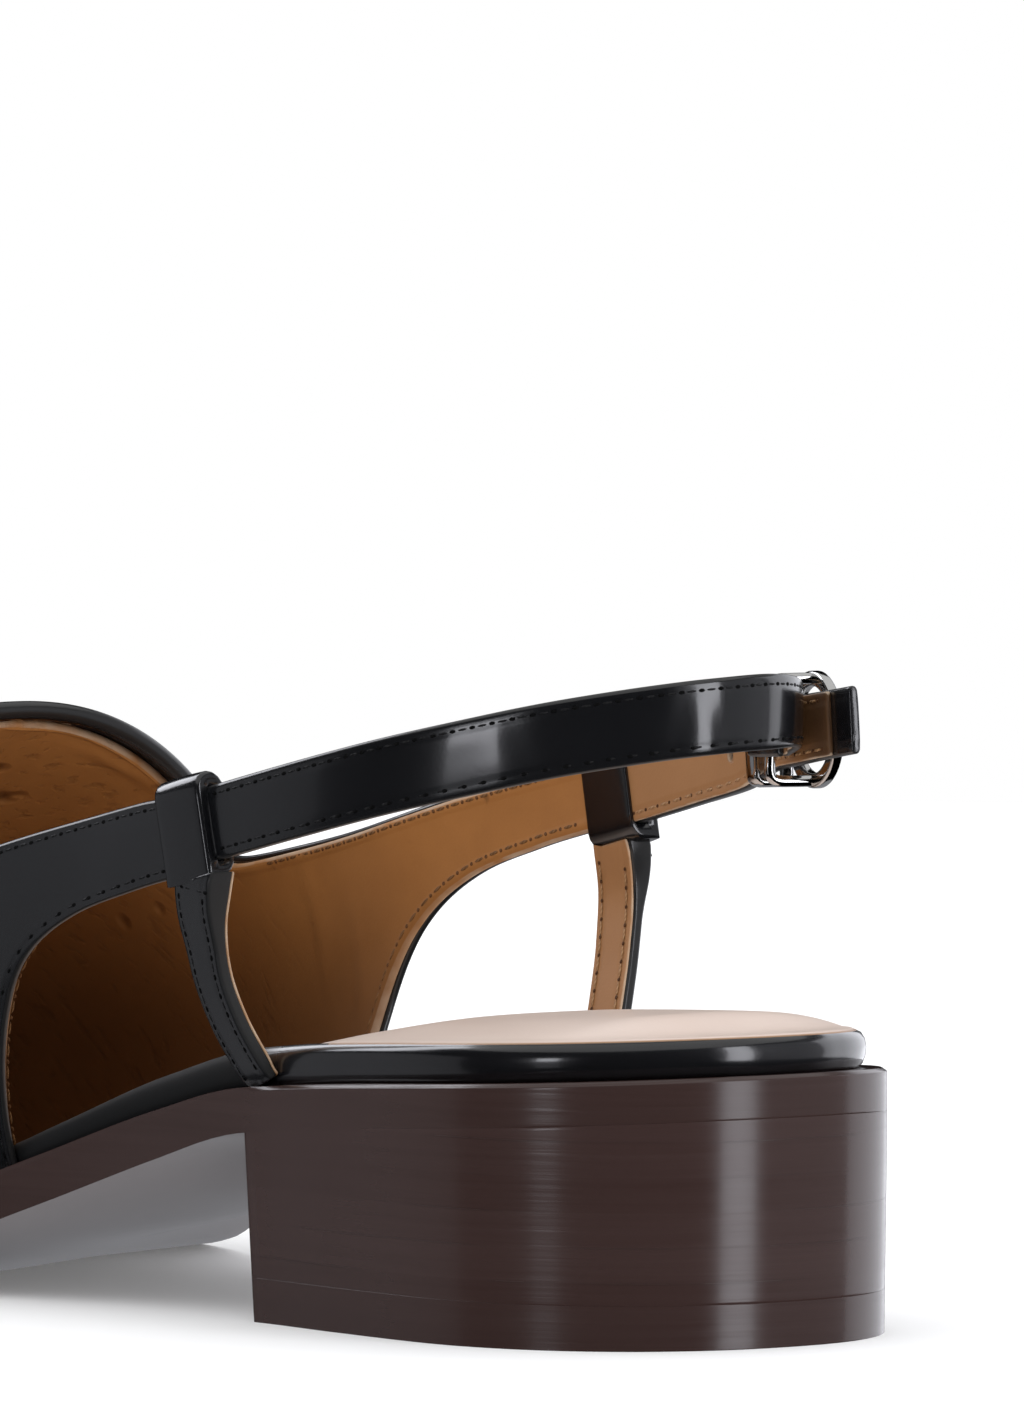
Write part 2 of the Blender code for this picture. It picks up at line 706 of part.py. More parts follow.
def wire(name, points, radius, collection, material):
    """Round wire through points, with flat ends."""
    angles = [2.0 * math.pi * k / WIRE_SIDES for k in range(WIRE_SIDES)]
    across = (points[1] - points[0]).orthogonal()
    loops = []
    for i, point in enumerate(points):
        tangent = (points[min(i + 1, len(points) - 1)] - points[max(i - 1, 0)]).normalized()
        across = (across - tangent * across.dot(tangent)).normalized()
        turn = tangent.cross(across)
        loops.append([point + (across * math.cos(a) + turn * math.sin(a)) * radius for a in angles])
    return tube(name, loops, collection, material)


def make_buckle(parts, cutters, material):
    """Round buckle with a bar set in from its plane, its prong, and a metal keeper on the strap."""
    forward, outward = buckle_axes()
    centre = buckle_point(0.0, RING_OUTWARD, RING_RISE)
    bpy.ops.mesh.primitive_torus_add(major_radius=RING_RADIUS * MM, minor_radius=RING_BAND * MM,
                                     major_segments=RING_SEGMENTS, minor_segments=WIRE_SIDES)
    ring = bpy.context.object
    turn = Matrix((forward, UP, -outward)).transposed().to_4x4()
    flatten = Matrix.Diagonal((1.0, 1.0, RING_FLATNESS, 1.0))
    ring.data.transform(Matrix.Translation(place(centre)) @ turn @ flatten)
    ring.name = ring.data.name = "buckle_frame"
    for collection in list(ring.users_collection):
        collection.objects.unlink(ring)
    parts.objects.link(ring)
    ring.data.materials.append(material)
    inset = BAR_OUTWARD - RING_OUTWARD
    bar_shape = list(BAR_SHAPE) + [(-radius_share, share) for radius_share, share in reversed(BAR_SHAPE)]
    bar_points = [centre + UP * (RING_RADIUS * radius_share) + outward * (inset * share)
                  for radius_share, share in bar_shape]
    cut(ring, wire("buckle_bar", bar_points, BAR_RADIUS, cutters, None), "UNION")
    over_strap = 0.5 * STRAP_THICKNESS + GAP + PRONG_RADIUS
    over_ring = RING_OUTWARD + RING_BAND * RING_FLATNESS + GAP + PRONG_RADIUS
    prong_rows = []
    for radii, share in PRONG_SHAPE:
        outward_by = over_strap + (over_ring - over_strap) * share
        prong_rows.append(tuple(buckle_point(RING_RADIUS * radii, outward_by, PRONG_RISE)))
    wire("buckle_prong", smooth_path(prong_rows, EDGE_STEPS), PRONG_RADIUS, parts, material)
    ends = [BUCKLE_CENTRE - TAIL_DIRECTION * (KEEPER_START + KEEPER_LENGTH * e) for e in (0.0, 1.0)]
    keeper_frames = frames_along(ends)
    half_t = 0.5 * STRAP_THICKNESS + 2.0 * GAP
    half_w = 0.5 * STRAP_WIDTH + 2.0 * GAP
    wrap_strap("strap_keeper", keeper_frames, half_t, half_w, KEEPER_WALL, parts, material)


def main():
    clear_scene()
    parts = make_collection("slingback_flat")
    cutters = make_collection("cutters")
    materials = {name: make_material(name) for name in MATERIALS}
    leather = materials["black_leather"]
    make_sole_pieces(parts, materials)
    make_upper(parts, cutters, leather)
    sides = (OUTER, "outer", OUTER_STRAP_PATH), (INNER, "inner", INNER_STRAP_PATH)
    for side, label, strap_path in sides:
        make_strap_loop(label, strap_path, parts, leather)
        make_t_strap(side, label, strap_path, parts, leather)
    make_heel_straps(parts, leather)
    make_buckle(parts, cutters, materials["polished_metal"])


main()
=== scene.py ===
"""Looks of a left slingback flat: glossy black leather, tan linings, stacked heel, silver buckle.

Sizes are in millimetres and become metres when a mesh is made. X runs from the back of the heel to
the toe, Y to the wearer's left (the outer side of a left shoe) and Z up from the floor.
"""
import math
from functools import lru_cache

import bmesh
import bpy
from mathutils import Matrix, Vector


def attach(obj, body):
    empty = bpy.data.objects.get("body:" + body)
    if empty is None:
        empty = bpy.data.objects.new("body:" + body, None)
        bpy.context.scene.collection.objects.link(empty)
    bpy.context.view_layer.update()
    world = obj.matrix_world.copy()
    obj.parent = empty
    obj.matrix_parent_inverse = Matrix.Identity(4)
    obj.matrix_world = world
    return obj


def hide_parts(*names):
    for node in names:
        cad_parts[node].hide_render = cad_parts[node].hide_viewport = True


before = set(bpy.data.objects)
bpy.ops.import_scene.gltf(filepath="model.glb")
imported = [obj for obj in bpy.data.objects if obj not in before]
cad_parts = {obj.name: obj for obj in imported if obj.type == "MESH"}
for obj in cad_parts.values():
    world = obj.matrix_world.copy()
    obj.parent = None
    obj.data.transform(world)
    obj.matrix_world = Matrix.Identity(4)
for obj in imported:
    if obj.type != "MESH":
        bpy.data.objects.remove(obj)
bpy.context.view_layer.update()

# Shared values
MM = 0.001
GAP = 0.3
UP = Vector((0.0, 0.0, 1.0))
FORWARD = Vector((1.0, 0.0, 0.0))
OUTER, INNER = 1, -1
WELD = 2e-6
SHARP_ANGLE = math.radians(50.0)
NO_MARGIN = 50.0
SEAT, LAP = 0.1, 0.05

# Camera at the photograph's viewing angle
IMAGE_HEIGHT = 1409.0
CAMERA_AZIMUTH, CAMERA_ELEVATION = math.radians(52.22), math.radians(2.4)
CAMERA_DISTANCE = 1694.96
CAMERA_ASIDE, CAMERA_ABOVE = -30.44, 70.68
FOCAL_PIXELS = 15417.9
SENSOR_WIDTH = 36.0

# Studio, in metres
FLOOR_RADIUS = 1.15
OVERHEAD_STRENGTH, OVERHEAD_SPREAD = 1.4, math.radians(100.0)
SOFTBOX_DISTANCE = 1.2
SOFTBOX_COLOUR = 0.93, 0.94, 1.0
RIM_PANEL_DIRECTION = Vector((0.78, 0.16, 0.6)).normalized()
RIM_PANEL_SIZE, RIM_PANEL_BRIGHTNESS = 0.6, 4.2
SOFTBOXES = (
    # name, azimuth as seen from the shoe, width, lower edge, upper edge, brightness
    ("side_strip", 104.0, 0.22, 0.02, 0.28, 5.8),
    ("side_fill", 104.0, 0.26, -0.4, 0.02, 0.5),
    ("back_strip", 194.5, 0.33, -0.25, 0.75, 5.2),
    ("front_panel", 40.0, 0.95, -1.2, 0.35, 0.24),
    ("rear_panel", 227.0, 0.75, -0.25, 0.75, 0.34),
    ("far_panel", 278.0, 1.4, -0.25, 0.75, 1.4),
    ("low_panel", 322.0, 1.3, -1.8, -0.03, 0.3),
)

# Sole and heel
SHOE_LENGTH = 246.0
HEEL_CURVE_LENGTH, HEEL_CURVE_POWER = 31.5, 2.2
TOE_CURVE_LENGTH, TOE_CURVE_POWER = 64.0, 2.1
TIP_WIDTH = 12.0
BALL_LINE_SLANT = 0.34
SLANT_START_X, SLANT_FULL_X = 70.0, 125.0
WAIST_ROUND = 3.4
WAIST_BACK_X, WAIST_FULL_X, WAIST_EASE_X, WAIST_FRONT_X = 66.0, 90.0, 104.0, 150.0
BREAST_X = 64.9
HEEL_BACK_LEAN, HEEL_BREAST_LEAN = 0.4, 1.4
HEEL_SIDE_DRAFT = 0.988
BREAST_CORNER = 0.5
TOP_PIECE_HEIGHT = 5.0
RAND_INSET = 1.7
RAND_FRONT_X, RAND_TUCK, RAND_TUCK_XS = 113.0, 1.0, (101.5, 106.5)
RAND_DULL_XS = 59.0, 68.0
CRISP_EDGE_XS, CRISP_EDGE_SHARE = (57.0, 64.0), 0.8
INSOLE_EDGE_STEP = 0.7
INSOLE_NARROWS_FROM_X, INSOLE_NARROWS_TO_X = 92.0, 104.0
HEEL_PAD_RISE, HEEL_PAD_BACK, HEEL_PAD_BORDER = 2.3, 8.5, 16.0
HEEL_PAD_FADE_X, HEEL_PAD_FRONT_X = 40.0, 64.0
HEEL_DISH, ARCH_DISH, DISH_LEAST_WALL = 0.85, 2.2, 0.4
DISH_FROM_X, DISH_TO_X = 50.0, 63.0
# Stretch along the shoe over which the insole's tan cut edge turns to painted shade
CUT_SHADE_XS = 46.0, 62.0

# Upper
UPPER_WALL = 2.2
LINING_THICKNESS = 1.15
COLLAR_LINING_INSET, WINDOW_LINING_INSET = 0.45, {OUTER: 0.9, INNER: -0.15}
TURN_IN_WIDTH, TURN_IN_FULL, TURN_IN_END = 2.6, 2.3, 3.0
PUCKER_DEPTH, PUCKER_REACH, PUCKER_LENGTH, PUCKER_FROM_X = 0.14, 6.0, 6.5, 138.0
PUCKER_SLANT, CREASE_SLANT, CREASE_LIP = 0.6, 0.3, 1.6
LINING_SHADE_HEIGHTS, PALE_EDGE_HEIGHTS = (22.0, 52.0), (44.0, 50.0)
WRINKLE_XS, WRINKLE_TURN = (125.0, 152.0), 0.7
UPPER_INSET = 1.8
UPPER_BACK_X = 69.4
INSOLE_FRONT_INSET = UPPER_INSET + UPPER_WALL + 2.0 * GAP
THROAT_X, THROAT_TOP, THROAT_LEAN = 146.0, 90.0, 1.5
SIDE_TILT = 0.045
WINDOW_SKEW = 0.07
INNER_CORNER_SHIFT = 6.2
CORNER_START_XS, CORNER_FADE_LEVELS = (103.0, 140.0), (47.5, 55.0)
TURN_IN_XS, TURN_IN_LEVELS = (137.0, 146.0), (48.5, 55.0)
WINDOW_SHIFT, WINDOW_SHIFT_LEVELS = {OUTER: 1.6, INNER: 0.0}, ((17.0, 32.0), (33.0, 45.0))
WING_HALF_WIDTH = 31.0
TOE_ROUND_LENGTH, TOE_CLEAR_LENGTH = 16.0, 8.0
WALL_SHARE, ON_RIDGE = 0.36, 0.999
BAND_COLUMNS, THROAT_COLUMNS, TOE_COLUMNS, UPPER_ROWS, RIM_STEPS = 56, 100, 60, 38, 5
ROW_CROWDING = 1.6

# Straps and loops
STRAP_WIDTH, STRAP_THICKNESS = 8.4, 2.0
STRAP_END_WIDTH, STRAP_END_THICKNESS = 7.6, 1.6
T_STRAP_HEAD_WIDTH, T_STRAP_THICKNESS, T_STRAP_FOOT_THICKNESS = 6.8, 1.8, 1.3
T_STRAP_WIDTH = {OUTER: 5.6, INNER: 6.2}
T_STRAP_HEAD, T_STRAP_TUCK, T_STRAP_HEAD_BACK = 48.3, 0.4, {OUTER: 0.9, INNER: -1.0}
T_STRAP_NECK_SHARE, T_STRAP_FLUSH_SHARE, T_STRAP_FOOT_SHARES = 0.5, 0.34, (0.8, 1.0)
LOOP_LENGTH, LOOP_CENTRE_X = {OUTER: 7.8, INNER: 9.0}, {OUTER: 68.4, INNER: 69.3}
LOOP_WALL, LOOP_SNUG, LOOP_INNER_PLY, LOOP_CORNER = 1.0, 0.95, 0.4, 0.1
LOOP_HALF_THICKNESS, LOOP_HALF_HEIGHT = 0.5 * UPPER_WALL + 0.5, 5.0
STRAP_CROWN, T_STRAP_CROWN, LEATHER_CORNER = 0.16, 0.1, 0.42
STRAP_LINING, STRAP_LINING_INSET, STRAP_LINING_CORNER = 0.6, 0.22, 0.22
T_LINING, T_LINING_INSET, T_LINING_CORNER = 0.33, 0.15, 0.2
# TAIL_SHADE_XS is the stretch over which painted shade darkens the inner strap's tail
TAIL_TURN_IN, TAIL_SHADE_XS = 4, (18.0, 27.0)
OUTER_PARED_SHARES = 0.6, 0.75
INNER_PARED_SHARES = 0.45, 1.0

# Buckle
RING_RADIUS, RING_BAND, RING_FLATNESS, RING_CORNER, RING_STEPS = 5.75, 0.85, 0.76, 0.32, 96
BAR_RADIUS, PRONG_RADIUS, PRONG_TAPER, WIRE_SIDES = 0.65, 0.6, 0.22, 20
KEEPER_START, KEEPER_LENGTH, KEEPER_WALL, KEEPER_CORNER = 7.2, 2.6, 0.9, 0.4
SLEEVE_SWELL = 0.1
TAIL_DIRECTION = Vector((-0.97, 0.243, 0.12)).normalized()
BUCKLE_CENTRE = Vector((25.5, -22.0, 66.5))
BUCKLE_FORWARD = Vector((-TAIL_DIRECTION.x, -TAIL_DIRECTION.y, 0.0)).normalized()
BUCKLE_OUTWARD = BUCKLE_FORWARD.cross(UP)
TAIL_LENGTH, BUCKLE_LEAD = 14.0, 8.0
FOLD_RISE, RING_RISE, PRONG_RISE = 0.9, 0.0, 0.2
FOLD_RADIUS = BAR_RADIUS + GAP + 0.5 * STRAP_END_THICKNESS
FOLD_LEG = -(STRAP_END_THICKNESS + GAP)
BAR_OUTWARD = FOLD_LEG - FOLD_RADIUS
RING_OUTWARD = 0.5 * STRAP_THICKNESS + GAP + RING_BAND * RING_FLATNESS

# Stitching and punched holes
STITCH_PITCH, STRAP_PITCH, T_STRAP_PITCH = 2.7, 2.4, 2.2
# Length, width and height of a stitch and of the dark mark of painted shade at a needle hole
THREAD_SIZE = {"black": (1.2, 0.28, 0.1), "tan": (1.8, 0.36, 0.2), "brown": (1.7, 0.42, 0.14)}
HOLE_SIZE = {"black": (0.8, 0.46, 0.12), "tan": (0.5, 0.45, 0.12), "brown": (0.6, 0.5, 0.12)}
LEATHER_ROW, LINING_ROW, GROOVE_WIDTH = 1.1, 1.05, 0.75
STITCH_START = 0.8
# Stretches of a strap that are stitched outside and inside, as shares of its length
OUTER_STITCHED, OUTER_LINING_STITCHED = (0.025, 0.8), (0.025, 0.76)
INNER_STITCHED, INNER_LINING_STITCHED = (0.04, 0.98), (0.04, 0.93)
T_STITCHED, T_LINING_STITCHED = (0.1, 0.9), (0.08, 0.9)
CROSS_STITCH_FRAME, CROSS_STITCH_INSET, CROSS_STITCH_RISE = 4, 0.6, 0.07
PUNCH_RADIUS, PUNCH_LENGTH = 0.75, 6.0
PUNCH_SHARES = 0.36, 0.47, 0.58

SOLE_WIDTHS = (
    # x, outer, inner
    (0.0, 28.5, 28.5),
    (31.5, 28.5, 28.5),
    (48.0, 27.7, 27.5),
    (64.9, 26.4, 26.2),
    (84.0, 27.0, 24.4),
    (105.0, 30.2, 24.2),
    (130.0, 36.6, 29.4),
    (157.0, 41.2, 37.2),
    (178.0, 40.6, 39.4),
    (200.0, 37.0, 37.5),
    (246.0, 27.0, 30.0),
)
SOLE_PROFILE = (
    # x, underside height
    (0.0, 25.3),
    (64.9, 21.2),
    (82.0, 17.3),
    (101.0, 12.4),
    (121.3, 7.0),
    (130.0, 3.9),
    (138.0, 1.3),
    (147.0, 0.0),
    (184.0, 0.0),
    (202.0, 1.0),
    (224.0, 4.2),
    (246.0, 9.0),
)
SOLE_THICKNESS = (
    # x, thickness
    (0.0, 4.8),
    (30.0, 4.9),
    (64.9, 5.1),
    (90.0, 5.7),
    (115.0, 5.6),
    (150.0, 4.8),
    (246.0, 4.4),
)
RAND_THICKNESS = (
    # x, thickness
    (0.0, 4.0),
    (30.0, 4.2),
    (54.0, 4.3),
    (66.0, 4.1),
    (84.0, 3.8),
    (103.0, 2.8),
)
INSOLE_THICKNESS = (
    # x, thickness
    (0.0, 0.7),
    (60.0, 0.7),
    (110.0, 1.0),
    (246.0, 1.0),
)
UPPER_SECTIONS = (
    # x, outer swell, inner swell, belt height, ridge height, ridge shift, arch power
    (60.0, 6.6, 7.4, 60.0, 99.0, 0.0, 2.0),
    (70.0, 7.0, 7.8, 58.5, 95.0, 0.0, 2.0),
    (84.0, 6.6, 8.8, 52.0, 89.5, -0.2, 2.05),
    (100.0, 5.4, 8.6, 46.0, 84.0, -0.5, 2.1),
    (122.0, 3.4, 7.2, 36.0, 75.0, -1.0, 2.3),
    (146.0, 1.8, 4.6, 27.0, 66.6, -1.5, 2.18),
    (166.0, 1.4, 2.4, 22.0, 57.5, -2.0, 2.2),
    (186.0, 1.2, 1.6, 19.5, 48.0, -2.0, 2.3),
    (206.0, 1.0, 1.2, 19.0, 40.0, -1.5, 2.3),
    (226.0, 0.8, 0.9, 19.5, 33.5, -1.0, 2.3),
    (246.0, 0.6, 0.6, 20.5, 29.0, 0.0, 2.2),
)
TOPLINE = (
    # x, height
    (40.0, 66.0),
    (60.0, 62.2),
    (72.0, 60.2),
    (80.0, 58.9),
    (100.0, 54.6),
    (120.0, 49.3),
    (134.0, 46.4),
    (141.0, 46.0),
    (144.6, 48.6),
    (146.0, 54.0),
)
WINDOW_EDGE = (
    # x, height
    (40.0, 57.0),
    (60.0, 53.3),
    (72.0, 50.9),
    (80.0, 49.0),
    (90.0, 46.0),
    (98.0, 41.6),
    (103.0, 36.0),
    (105.4, 29.0),
    (105.4, 19.0),
    (104.8, 5.0),
)
T_STRAP_PATH = (
    # height, x and distance from the middle plane on the outer side, the same on the inner side
    (43.6, 66.8, 30.2, 69.5, 31.1),
    (38.4, 66.5, 29.5, 68.1, 29.6),
    (33.4, 65.2, 28.1, 66.6, 27.5),
    (29.0, 63.5, 26.2, 65.5, 25.6),
    (26.9, 62.5, 25.0, 65.1, 24.8),
)
OUTER_STRAP_PATH = (
    # x, y, height
    (68.8, 30.1, 55.2),
    (53.0, 29.0, 58.8),
    (40.0, 26.4, 61.9),
    (30.0, 22.3, 64.3),
    (21.5, 16.4, 66.5),
    (14.8, 8.4, 68.2),
    (12.2, 0.0, 69.1),
    (14.3, -9.4, 69.3),
    (19.2, -16.2, 68.7),
)
INNER_STRAP_PATH = (
    # x, y, height
    (68.8, -30.1, 57.6),
    (53.0, -29.0, 61.0),
    (41.0, -26.5, 63.3),
)
FOLD_END = (
    # forward, outward and up from the end of the fold
    (-2.5, 0.1, 0.05),
    (-5.0, 0.95, 0.2),
)
BAR_SHAPE = (
    # share of the ring's radius, share of the bar's inset
    (1.0, 0.0),
    (1.0, 0.5),
    (0.98, 0.85),
    (0.84, 1.0),
    (0.4, 1.0),
)
PRONG_SHAPE = (
    # forward in ring radii, share of the way from the strap out over the ring
    (-0.07, 0.0),
    (0.28, 0.06),
    (0.73, 0.83),
    (1.0, 1.0),
    (1.23, 0.89),
)
LINING_CREASES = (
    # x, y and height of the middle, half length up the wall, half width, depth
    (158.5, -8.0, 58.5, 3.5, 1.1, 0.50),
    (160.0, -13.5, 55.0, 4.0, 1.2, 0.55),
    (152.0, -20.0, 58.0, 5.0, 1.5, 0.30),
    (149.0, -28.0, 50.0, 6.0, 1.8, 0.28),
    (128.0, -33.0, 40.0, 8.0, 2.2, 0.16),
    (116.0, -32.0, 34.0, 7.0, 2.0, 0.14),
    (130.0, 33.0, 42.0, 8.0, 2.2, 0.20),
    (153.0, 16.0, 59.0, 5.0, 1.4, 0.30),
)
LINING_DENTS = (
    # x, y and height of the middle, radius, depth
    (159.9, -8.2, 57.7, 2.0, 0.7),
    (166.3, -13.6, 53.9, 2.4, 0.9),
    (164.6, -15.0, 54.3, 1.3, 0.4),
    (169.5, -34.0, 38.2, 1.5, 0.5),
    (162.0, -33.8, 40.1, 1.2, 0.4),
)
STRAP_CREASES = (
    # share of the strap's length, depth, half length in shares, slant in shares per millimetre
    (0.285, 0.10, 0.020, 0.003),
    (0.335, 0.07, 0.016, -0.002),
    (0.420, 0.05, 0.030, 0.004),
    (0.492, 0.12, 0.018, 0.003),
    (0.535, 0.10, 0.016, -0.003),
    (0.585, 0.07, 0.020, 0.002),
)
THREADS = (
    # name, darker tone, lighter tone, roughness
    ("black_thread", (0.004, 0.004, 0.0045), (0.012, 0.012, 0.013), 0.5),
    ("tan_thread", (0.27, 0.14, 0.06), (0.4, 0.23, 0.11), 0.55),
    ("brown_thread", (0.13, 0.058, 0.018), (0.21, 0.1, 0.035), 0.7),
    # The three hole finishes colour the dark marks at the needle holes, which are painted shade
    ("brown_hole", (0.1, 0.04, 0.013), (0.16, 0.07, 0.024), 0.8),
    ("black_hole", (0.0008, 0.0008, 0.001), (0.002, 0.002, 0.002), 0.9),
    ("tan_hole", (0.06, 0.022, 0.007), (0.11, 0.045, 0.016), 0.8),
)
# Edge profiles of the sole pieces, from the top round to the bottom
TRIMMED_EDGE = (
    # inset, share of the height
    (0.52, 0.0),
    (0.42, 0.012),
    (0.06, 0.084),
    (0.01, 0.097),
    (0.0, 0.115),
    (0.0, 0.15),
    (0.0, 0.5),
    (0.0, 0.94),
    (0.0, 0.985),
    (0.03, 1.0),
)
STACK_EDGE = (
    # inset, share of the height
    (0.02, 0.0),
    (0.0, 0.004),
    (0.0, 0.02),
    (0.0, 0.3),
    (0.0, 0.7),
    (0.0, 0.98),
    (0.0, 0.996),
    (0.02, 1.0),
)
ROLLED_EDGE = (
    # inset, share of the height
    (1.7, 0.0),
    (1.0, 0.02),
    (0.45, 0.1),
    (0.12, 0.26),
    (0.0, 0.46),
    (0.08, 0.68),
    (0.32, 0.87),
    (0.7, 0.98),
    (1.2, 1.0),
)
SOCK_EDGE = (
    # inset, share of the height
    (1.1, 0.0),
    (0.5, 0.08),
    (0.12, 0.3),
    (0.0, 0.55),
    (0.0, 1.0),
)


def slopes_of(points):
    """Slopes that keep a curve through the points from overshooting them."""
    steps = [(b[1] - a[1]) / (b[0] - a[0]) for a, b in zip(points, points[1:])]
    slopes = [steps[0]]
    for before, after in zip(steps, steps[1:]):
        slopes.append(0.0 if before * after <= 0.0 else 2.0 * before * after / (before + after))
    return slopes + [steps[-1]]


@lru_cache(maxsize=None)
def table_curve(table, column):
    """Points and slopes of one column of a table."""
    points = [(row[0], row[column]) for row in table]
    return points, slopes_of(points)


def read_table(table, x, column=1):
    """Smooth value of one column of a table at x."""
    points, slopes = table_curve(table, column)
    x = min(max(x, points[0][0]), points[-1][0])
    for (start, end), (slope_a, slope_b) in zip(zip(points, points[1:]), zip(slopes, slopes[1:])):
        if x <= end[0]:
            break
    span = end[0] - start[0]
    t = (x - start[0]) / span
    return ((2 * t**3 - 3 * t**2 + 1) * start[1] + (t**3 - 2 * t**2 + t) * span * slope_a
            + (3 * t**2 - 2 * t**3) * end[1] + (t**3 - t**2) * span * slope_b)


def ease(start, end, x):
    """Smooth step from 0 to 1."""
    t = min(max((x - start) / (end - start), 0.0), 1.0)
    return t * t * (3.0 - 2.0 * t)


def rounded_end(distance, length, power):
    """Share of the full width at a distance from a rounded end."""
    if distance >= length:
        return 1.0
    share = 1.0 - max(distance, 0.0) / length
    return max(1.0 - share**power, 0.0) ** (1.0 / power)


def half_width(x, side, inset=0.0):
    """Half width of the sole's outline, or of the same outline drawn inwards."""
    x = (x - inset) * SHOE_LENGTH / (SHOE_LENGTH - 2.0 * inset)
    width = read_table(SOLE_WIDTHS, x, 1 if side == OUTER else 2)
    width *= rounded_end(x, HEEL_CURVE_LENGTH, HEEL_CURVE_POWER)
    width *= rounded_end(SHOE_LENGTH - x, TOE_CURVE_LENGTH, TOE_CURVE_POWER)
    return width - inset * min(1.0, width / TIP_WIDTH)


def sole_edge(x, y):
    """Lower edge of the outsole: heel seat, arch, flat tread on a slanted ball line, toe spring."""
    slant = BALL_LINE_SLANT * ease(SLANT_START_X, SLANT_FULL_X, x)
    return read_table(SOLE_PROFILE, x + slant * y)


def sole_bottom(x, y):
    """Underside of the outsole, which bulges down between the edges of the waist."""
    edge = sole_edge(x, y)
    waist = ease(WAIST_BACK_X, WAIST_FULL_X, x) * (1.0 - ease(WAIST_EASE_X, WAIST_FRONT_X, x))
    across = min(abs(y) / max(half_width(x, OUTER if y > 0.0 else INNER), GAP), 1.0)
    return max(edge - WAIST_ROUND * waist * (1.0 - across**2), min(edge, 0.0))


def sole_top(x, y):
    """Upper side of the outsole."""
    return sole_edge(x, y) + read_table(SOLE_THICKNESS, x)


def rand_top(x, y):
    """Top of the wrapped footbed."""
    return sole_top(x, y) + GAP + read_table(RAND_THICKNESS, x)


def insole_inset(x):
    """The insole stands just inside the footbed, and in front inside the vamp's wall."""
    heel_inset = RAND_INSET + INSOLE_EDGE_STEP
    narrowing = ease(INSOLE_NARROWS_FROM_X, INSOLE_NARROWS_TO_X, x)
    return heel_inset + (INSOLE_FRONT_INSET - heel_inset) * narrowing


def footbed_dish(x):
    """Depth of the hollow that the insole lies in; along the arch only the footbed's rim shows."""
    dish = HEEL_DISH + (ARCH_DISH - HEEL_DISH) * ease(DISH_FROM_X, DISH_TO_X, x)
    return min(dish, read_table(RAND_THICKNESS, x) - DISH_LEAST_WALL)


def insole_bottom(x, y):
    """Underside of the insole, which runs from the footbed down to the outsole."""
    return rand_top(x, y) - footbed_dish(x) - SEAT


def insole_top(x, y):
    """Top of the insole with its padded heel, which falls to a soft border."""
    border = half_width(x, OUTER if y > 0.0 else INNER, insole_inset(x) + SOCK_EDGE[0][0])
    across = min(abs(y) / max(border, GAP), 1.0)
    pad = HEEL_PAD_RISE * (1.0 - across**3) * ease(HEEL_PAD_BACK, HEEL_PAD_BORDER, x)
    pad *= 1.0 - ease(HEEL_PAD_FADE_X, HEEL_PAD_FRONT_X, x)
    return rand_top(x, y) - footbed_dish(x) + GAP + read_table(INSOLE_THICKNESS, x) + pad


def spread_both(start, end, count):
    """Stations that crowd towards both ends."""
    shares = [0.5 * (1.0 - math.cos(math.pi * i / count)) for i in range(count + 1)]
    return [start + (end - start) * share for share in shares]


def spread_start(start, end, count):
    """Stations that crowd towards the start."""
    shares = [1.0 - math.cos(0.5 * math.pi * i / count) for i in range(count + 1)]
    return [start + (end - start) * share for share in shares]


def smooth_path(rows, per_span):
    """Points of a smooth curve through the rows."""
    points = [Vector(row) for row in rows]
    ends = [2.0 * points[0] - points[1]] + points + [2.0 * points[-1] - points[-2]]
    path = []
    for a, b, c, d in zip(ends, ends[1:], ends[2:], ends[3:]):
        for i in range(per_span):
            t = i / per_span
            path.append(0.5 * (2.0 * b + (c - a) * t + (2.0 * a - 5.0 * b + 4.0 * c - d) * t * t
                               + (3.0 * b - a - 3.0 * c + d) * t**3))
    return path + [points[-1]]


def outline_middle():
    """Middle of the box round the sole's outline, on the floor."""
    stations = spread_both(0.0, SHOE_LENGTH, 200)
    outer, inner = (max(half_width(x, side) for x in stations) for side in (OUTER, INNER))
    return Vector((0.5 * SHOE_LENGTH, 0.5 * (outer - inner), 0.0))


ORIGIN = outline_middle()


def place(point):
    """Millimetres in the tables to metres in the part's frame."""
    return (Vector(point) - ORIGIN) * MM


class Signal:
    """A shader value: arithmetic on it adds Math nodes, and node() adds any other node to its tree."""

    def __init__(self, tree, socket):
        self.tree = tree
        self.socket = socket

    def node(self, kind, settings=None, inputs=None, output=0):
        made = self.tree.nodes.new(kind)
        for name, value in (settings or {}).items():
            setattr(made, name, value)
        for name, value in (inputs or {}).items():
            if isinstance(value, Signal):
                self.tree.links.new(value.socket, made.inputs[name])
            else:
                made.inputs[name].default_value = value
        return Signal(self.tree, made.outputs[output])

    def math(self, operation, *values):
        return self.node("ShaderNodeMath", {"operation": operation}, dict(enumerate(values)))

    def __add__(self, other):
        return self.math("ADD", self, other)

    def __sub__(self, other):
        return self.math("SUBTRACT", self, other)

    def __rsub__(self, other):
        return self.math("SUBTRACT", other, self)

    def __mul__(self, other):
        return self.math("MULTIPLY", self, other)

    __radd__ = __add__
    __rmul__ = __mul__


def begin_finish(name):
    """New material, its Principled shader and its Object coordinates."""
    material = bpy.data.materials.new(name)
    material.use_nodes = True
    tree = material.node_tree
    shader = tree.nodes["Principled BSDF"]
    coordinates = Signal(tree, tree.nodes.new("ShaderNodeTexCoord").outputs["Object"])
    return material, shader, coordinates


def feed(shader, values):
    """Sets or links the inputs of a shader."""
    for name, value in values.items():
        if isinstance(value, Signal):
            value.tree.links.new(value.socket, shader.inputs[name])
        else:
            shader.inputs[name].default_value = value


